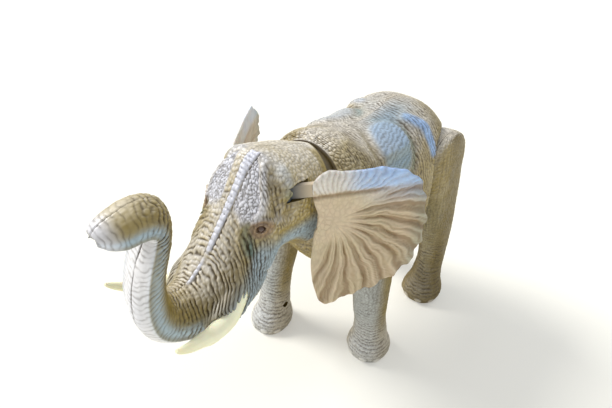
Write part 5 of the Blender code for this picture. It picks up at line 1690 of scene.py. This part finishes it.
# %% Materials of the toy
def toy_material(name, base=None, rough=(0.42, 0.60), grain=0.0002, fine=900.0, spray=0.12, **shader):
    """Painted plastic. With no base colour it reads the paint on the points."""
    material = bpy.data.materials.new(name)
    material.use_nodes = True
    tree = material.node_tree
    surface = tree.nodes["Principled BSDF"]
    place = tree.nodes.new("ShaderNodeTexCoord").outputs["Object"]
    grain_node = tree.nodes.new("ShaderNodeGroup")
    grain_node.node_tree = grain_group
    grain_node.inputs["Fine Scale"].default_value = fine
    tree.links.new(place, grain_node.inputs["Place"])
    spray_node = tree.nodes.new("ShaderNodeGroup")
    spray_node.node_tree = spray_group
    spray_node.inputs["Amount"].default_value = spray
    tree.links.new(place, spray_node.inputs["Place"])
    if base is None:
        painted = tree.nodes.new("ShaderNodeAttribute")
        painted.attribute_name = "paint"
        tree.links.new(painted.outputs["Color"], spray_node.inputs["Colour"])
    else:
        spray_node.inputs["Colour"].default_value = (*base, 1)
    tree.links.new(spray_node.outputs["Colour"], surface.inputs["Base Color"])
    spread = tree.nodes.new("ShaderNodeMapRange")
    spread.inputs["From Min"].default_value, spread.inputs["From Max"].default_value = 0.3, 0.7
    spread.inputs["To Min"].default_value, spread.inputs["To Max"].default_value = rough
    tree.links.new(spray_node.outputs["Spots"], spread.inputs["Value"])
    tree.links.new(spread.outputs["Result"], surface.inputs["Roughness"])
    bump = tree.nodes.new("ShaderNodeBump")
    bump.inputs["Strength"].default_value = 0.35
    bump.inputs["Distance"].default_value = grain
    tree.links.new(grain_node.outputs["Height"], bump.inputs["Height"])
    tree.links.new(bump.outputs["Normal"], surface.inputs["Normal"])
    for title, value in shader.items():
        surface.inputs[title.replace("_", " ")].default_value = value
    return material


hide_material = toy_material("grey painted hide", rough=(0.34, 0.52))
ear_material = toy_material("tan painted ear", rough=(0.38, 0.55), Subsurface_Weight=0.04,
                            Subsurface_Scale=0.002)
ivory_material = toy_material("ivory plastic", rough=(0.28, 0.40), spray=0.05, grain=0.0001,
                              Subsurface_Weight=0.12, Subsurface_Scale=0.003)
eye_material = toy_material("dark glossy eye", base=(0.10, 0.055, 0.04), rough=(0.06, 0.12), spray=0.3,
                            grain=0.00002, Coat_Weight=0.6, Coat_Roughness=0.05)
black_material = toy_material("black pin plastic", base=(0.012, 0.012, 0.013), rough=(0.4, 0.55))
steel_material = toy_material("screw steel", base=(0.56, 0.55, 0.53), rough=(0.25, 0.42), spray=0.2,
                              grain=0.00005, Metallic=1.0)
print(len(bpy.data.materials), "materials")

# %% [markdown]
# ## Every piece rides on its body
#
# Each piece gets its material and rides on the body it turns with, and the model's part that it stands for, if
# any, is hidden.


# %% Riding, replacing and finishes
def dress(piece, body, material, slot, *nodes):
    piece.data.materials.clear()
    piece.data.materials.append(material)
    piece.data.name = piece.name
    activate(piece)
    bpy.ops.object.shade_smooth_by_angle(angle=math.radians(48))
    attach(piece, body)
    if nodes:
        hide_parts(*nodes)


for word in SIDES:
    dress(head_shells[word], "head", hide_material, "grey_plastic", f"head_{word}_shell")
    dress(torso_shells[word], "torso", hide_material, "grey_plastic", f"body_{word}_shell")
    dress(ears[word], f"ear_{word}", ear_material, "tan_plastic", f"ear_{word}")
    dress(tusks[word], "head", ivory_material, "ivory_plastic", f"tusk_{word}")
    dress(eyes[word], "head", eye_material, "black_plastic")
for (end, word, layer_word), piece in leg_shells.items():
    dress(piece, f"leg_{end}_{word}", hide_material, "grey_plastic", f"leg_{end}_{word}_{layer_word}")
dress(tail_piece, "torso", hide_material, "grey_plastic", "tail")
for node, piece in screws.items():
    body = {"head": "head", "body": "torso"}.get(node[:4], node.replace("ankle_screw", "leg"))
    dress(piece, body, steel_material, "screw_steel", node)
pins = [name for name in frame["nodes"] if "pin" in name]
for name in pins:
    pin = frame["nodes"][name]
    for slot_of_pin in pin.material_slots:
        slot_of_pin.material = black_material
print("pins kept from the model:", pins)

# %% [markdown]
# ## Floor, light and camera
#
# The toy stands on a wide pale floor. Two far lamps, as broad as windows, light it: the strong one
# stands to the toy's right and a little ahead, so the soft shadow falls to its left, and the weak
# one stands behind. The room gives even light, and looks white where the camera sees past the
# floor.


# %% Floor and backdrop
def make_sweep():
    """One pale sheet: a floor that is wide enough for every view."""
    deselect()
    bpy.ops.mesh.primitive_plane_add(size=14, location=(0, 0, 0))
    sheet = bpy.context.active_object
    sheet.name = "paper_floor"
    material = bpy.data.materials.new("pale paper")
    material.use_nodes = True
    tree = material.node_tree
    surface = tree.nodes["Principled BSDF"]
    surface.inputs["Base Color"].default_value = (0.95, 0.93, 0.84, 1)
    surface.inputs["Roughness"].default_value = 0.9
    surface.inputs["Specular IOR Level"].default_value = 0.1
    seen = tree.nodes.new("ShaderNodeLightPath")
    glow = tree.nodes.new("ShaderNodeEmission")
    glow.inputs["Color"].default_value = (1.0, 1.0, 0.99, 1)
    blend = tree.nodes.new("ShaderNodeMixShader")
    tree.links.new(math_node(tree, "MULTIPLY", seen.outputs["Is Camera Ray"], 0.28), blend.inputs[0])
    tree.links.new(surface.outputs[0], blend.inputs[1])
    tree.links.new(glow.outputs[0], blend.inputs[2])
    tree.links.new(blend.outputs[0], tree.nodes["Material Output"].inputs["Surface"])
    sheet.data.materials.append(material)
    sheet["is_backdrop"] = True
    return sheet


floor = make_sweep()
print("floor laid")


# %% Lamps, world and camera
def far_lamp(name, way, strength, spread, colour):
    """Even light from a far window, which leaves no dark corners on the floor."""
    lamp = bpy.data.lights.new(name, "SUN")
    lamp.energy, lamp.angle, lamp.color = strength, math.radians(spread), colour
    holder = bpy.data.objects.new(name, lamp)
    bpy.context.scene.collection.objects.link(holder)
    holder.rotation_euler = Vector(way).to_track_quat("Z", "Y").to_euler()
    return holder


far_lamp("window", (-1.15, -0.30, 1.10), 3.0, 24, (1.0, 0.99, 0.97))
far_lamp("sky", (0.2, 1.0, 0.9), 0.55, 50, (0.94, 0.97, 1.0))
world = bpy.data.worlds.new("room light")
bpy.context.scene.world = world
world.use_nodes = True
room = world.node_tree
backdrop, seen_ray = room.nodes.new("ShaderNodeBackground"), room.nodes.new("ShaderNodeLightPath")
chosen = room.nodes.new("ShaderNodeMixShader")
light = room.nodes["Background"]
light.inputs["Color"].default_value, light.inputs["Strength"].default_value = (0.95, 0.975, 1.0, 1), 0.58
backdrop.inputs["Color"].default_value, backdrop.inputs["Strength"].default_value = (1, 1, 1, 1), 1.0
room.links.new(seen_ray.outputs["Is Camera Ray"], chosen.inputs["Fac"])
room.links.new(light.outputs[0], chosen.inputs[1])
room.links.new(backdrop.outputs[0], chosen.inputs[2])
room.links.new(chosen.outputs[0], room.nodes["World Output"].inputs["Surface"])

camera_data = bpy.data.cameras.new("camera")
camera_data.sensor_width, camera_data.lens = 36.0, 27.7
camera_data.clip_start = 0.01
camera = bpy.data.objects.new("camera", camera_data)
bpy.context.scene.collection.objects.link(camera)
camera.location = (0.1753, -0.20465, 0.3434)
camera.rotation_euler = (math.radians(54), 0, math.radians(41.79))
bpy.context.scene.camera = camera
bpy.context.scene.view_settings.view_transform = "Standard"
print("camera at", tuple(round(v, 3) for v in camera.location))

# %% Sizes for comparison, and the end
dressed_box = [list(corner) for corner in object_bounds()]
for axis, low, high, cad_low, cad_high in zip("XYZ", *dressed_box, *cad_box):
    print(f"{axis}: {low * 1000:.1f} to {high * 1000:.1f} mm,",
          f"in the model {cad_low * 1000:.1f} to {cad_high * 1000:.1f}")
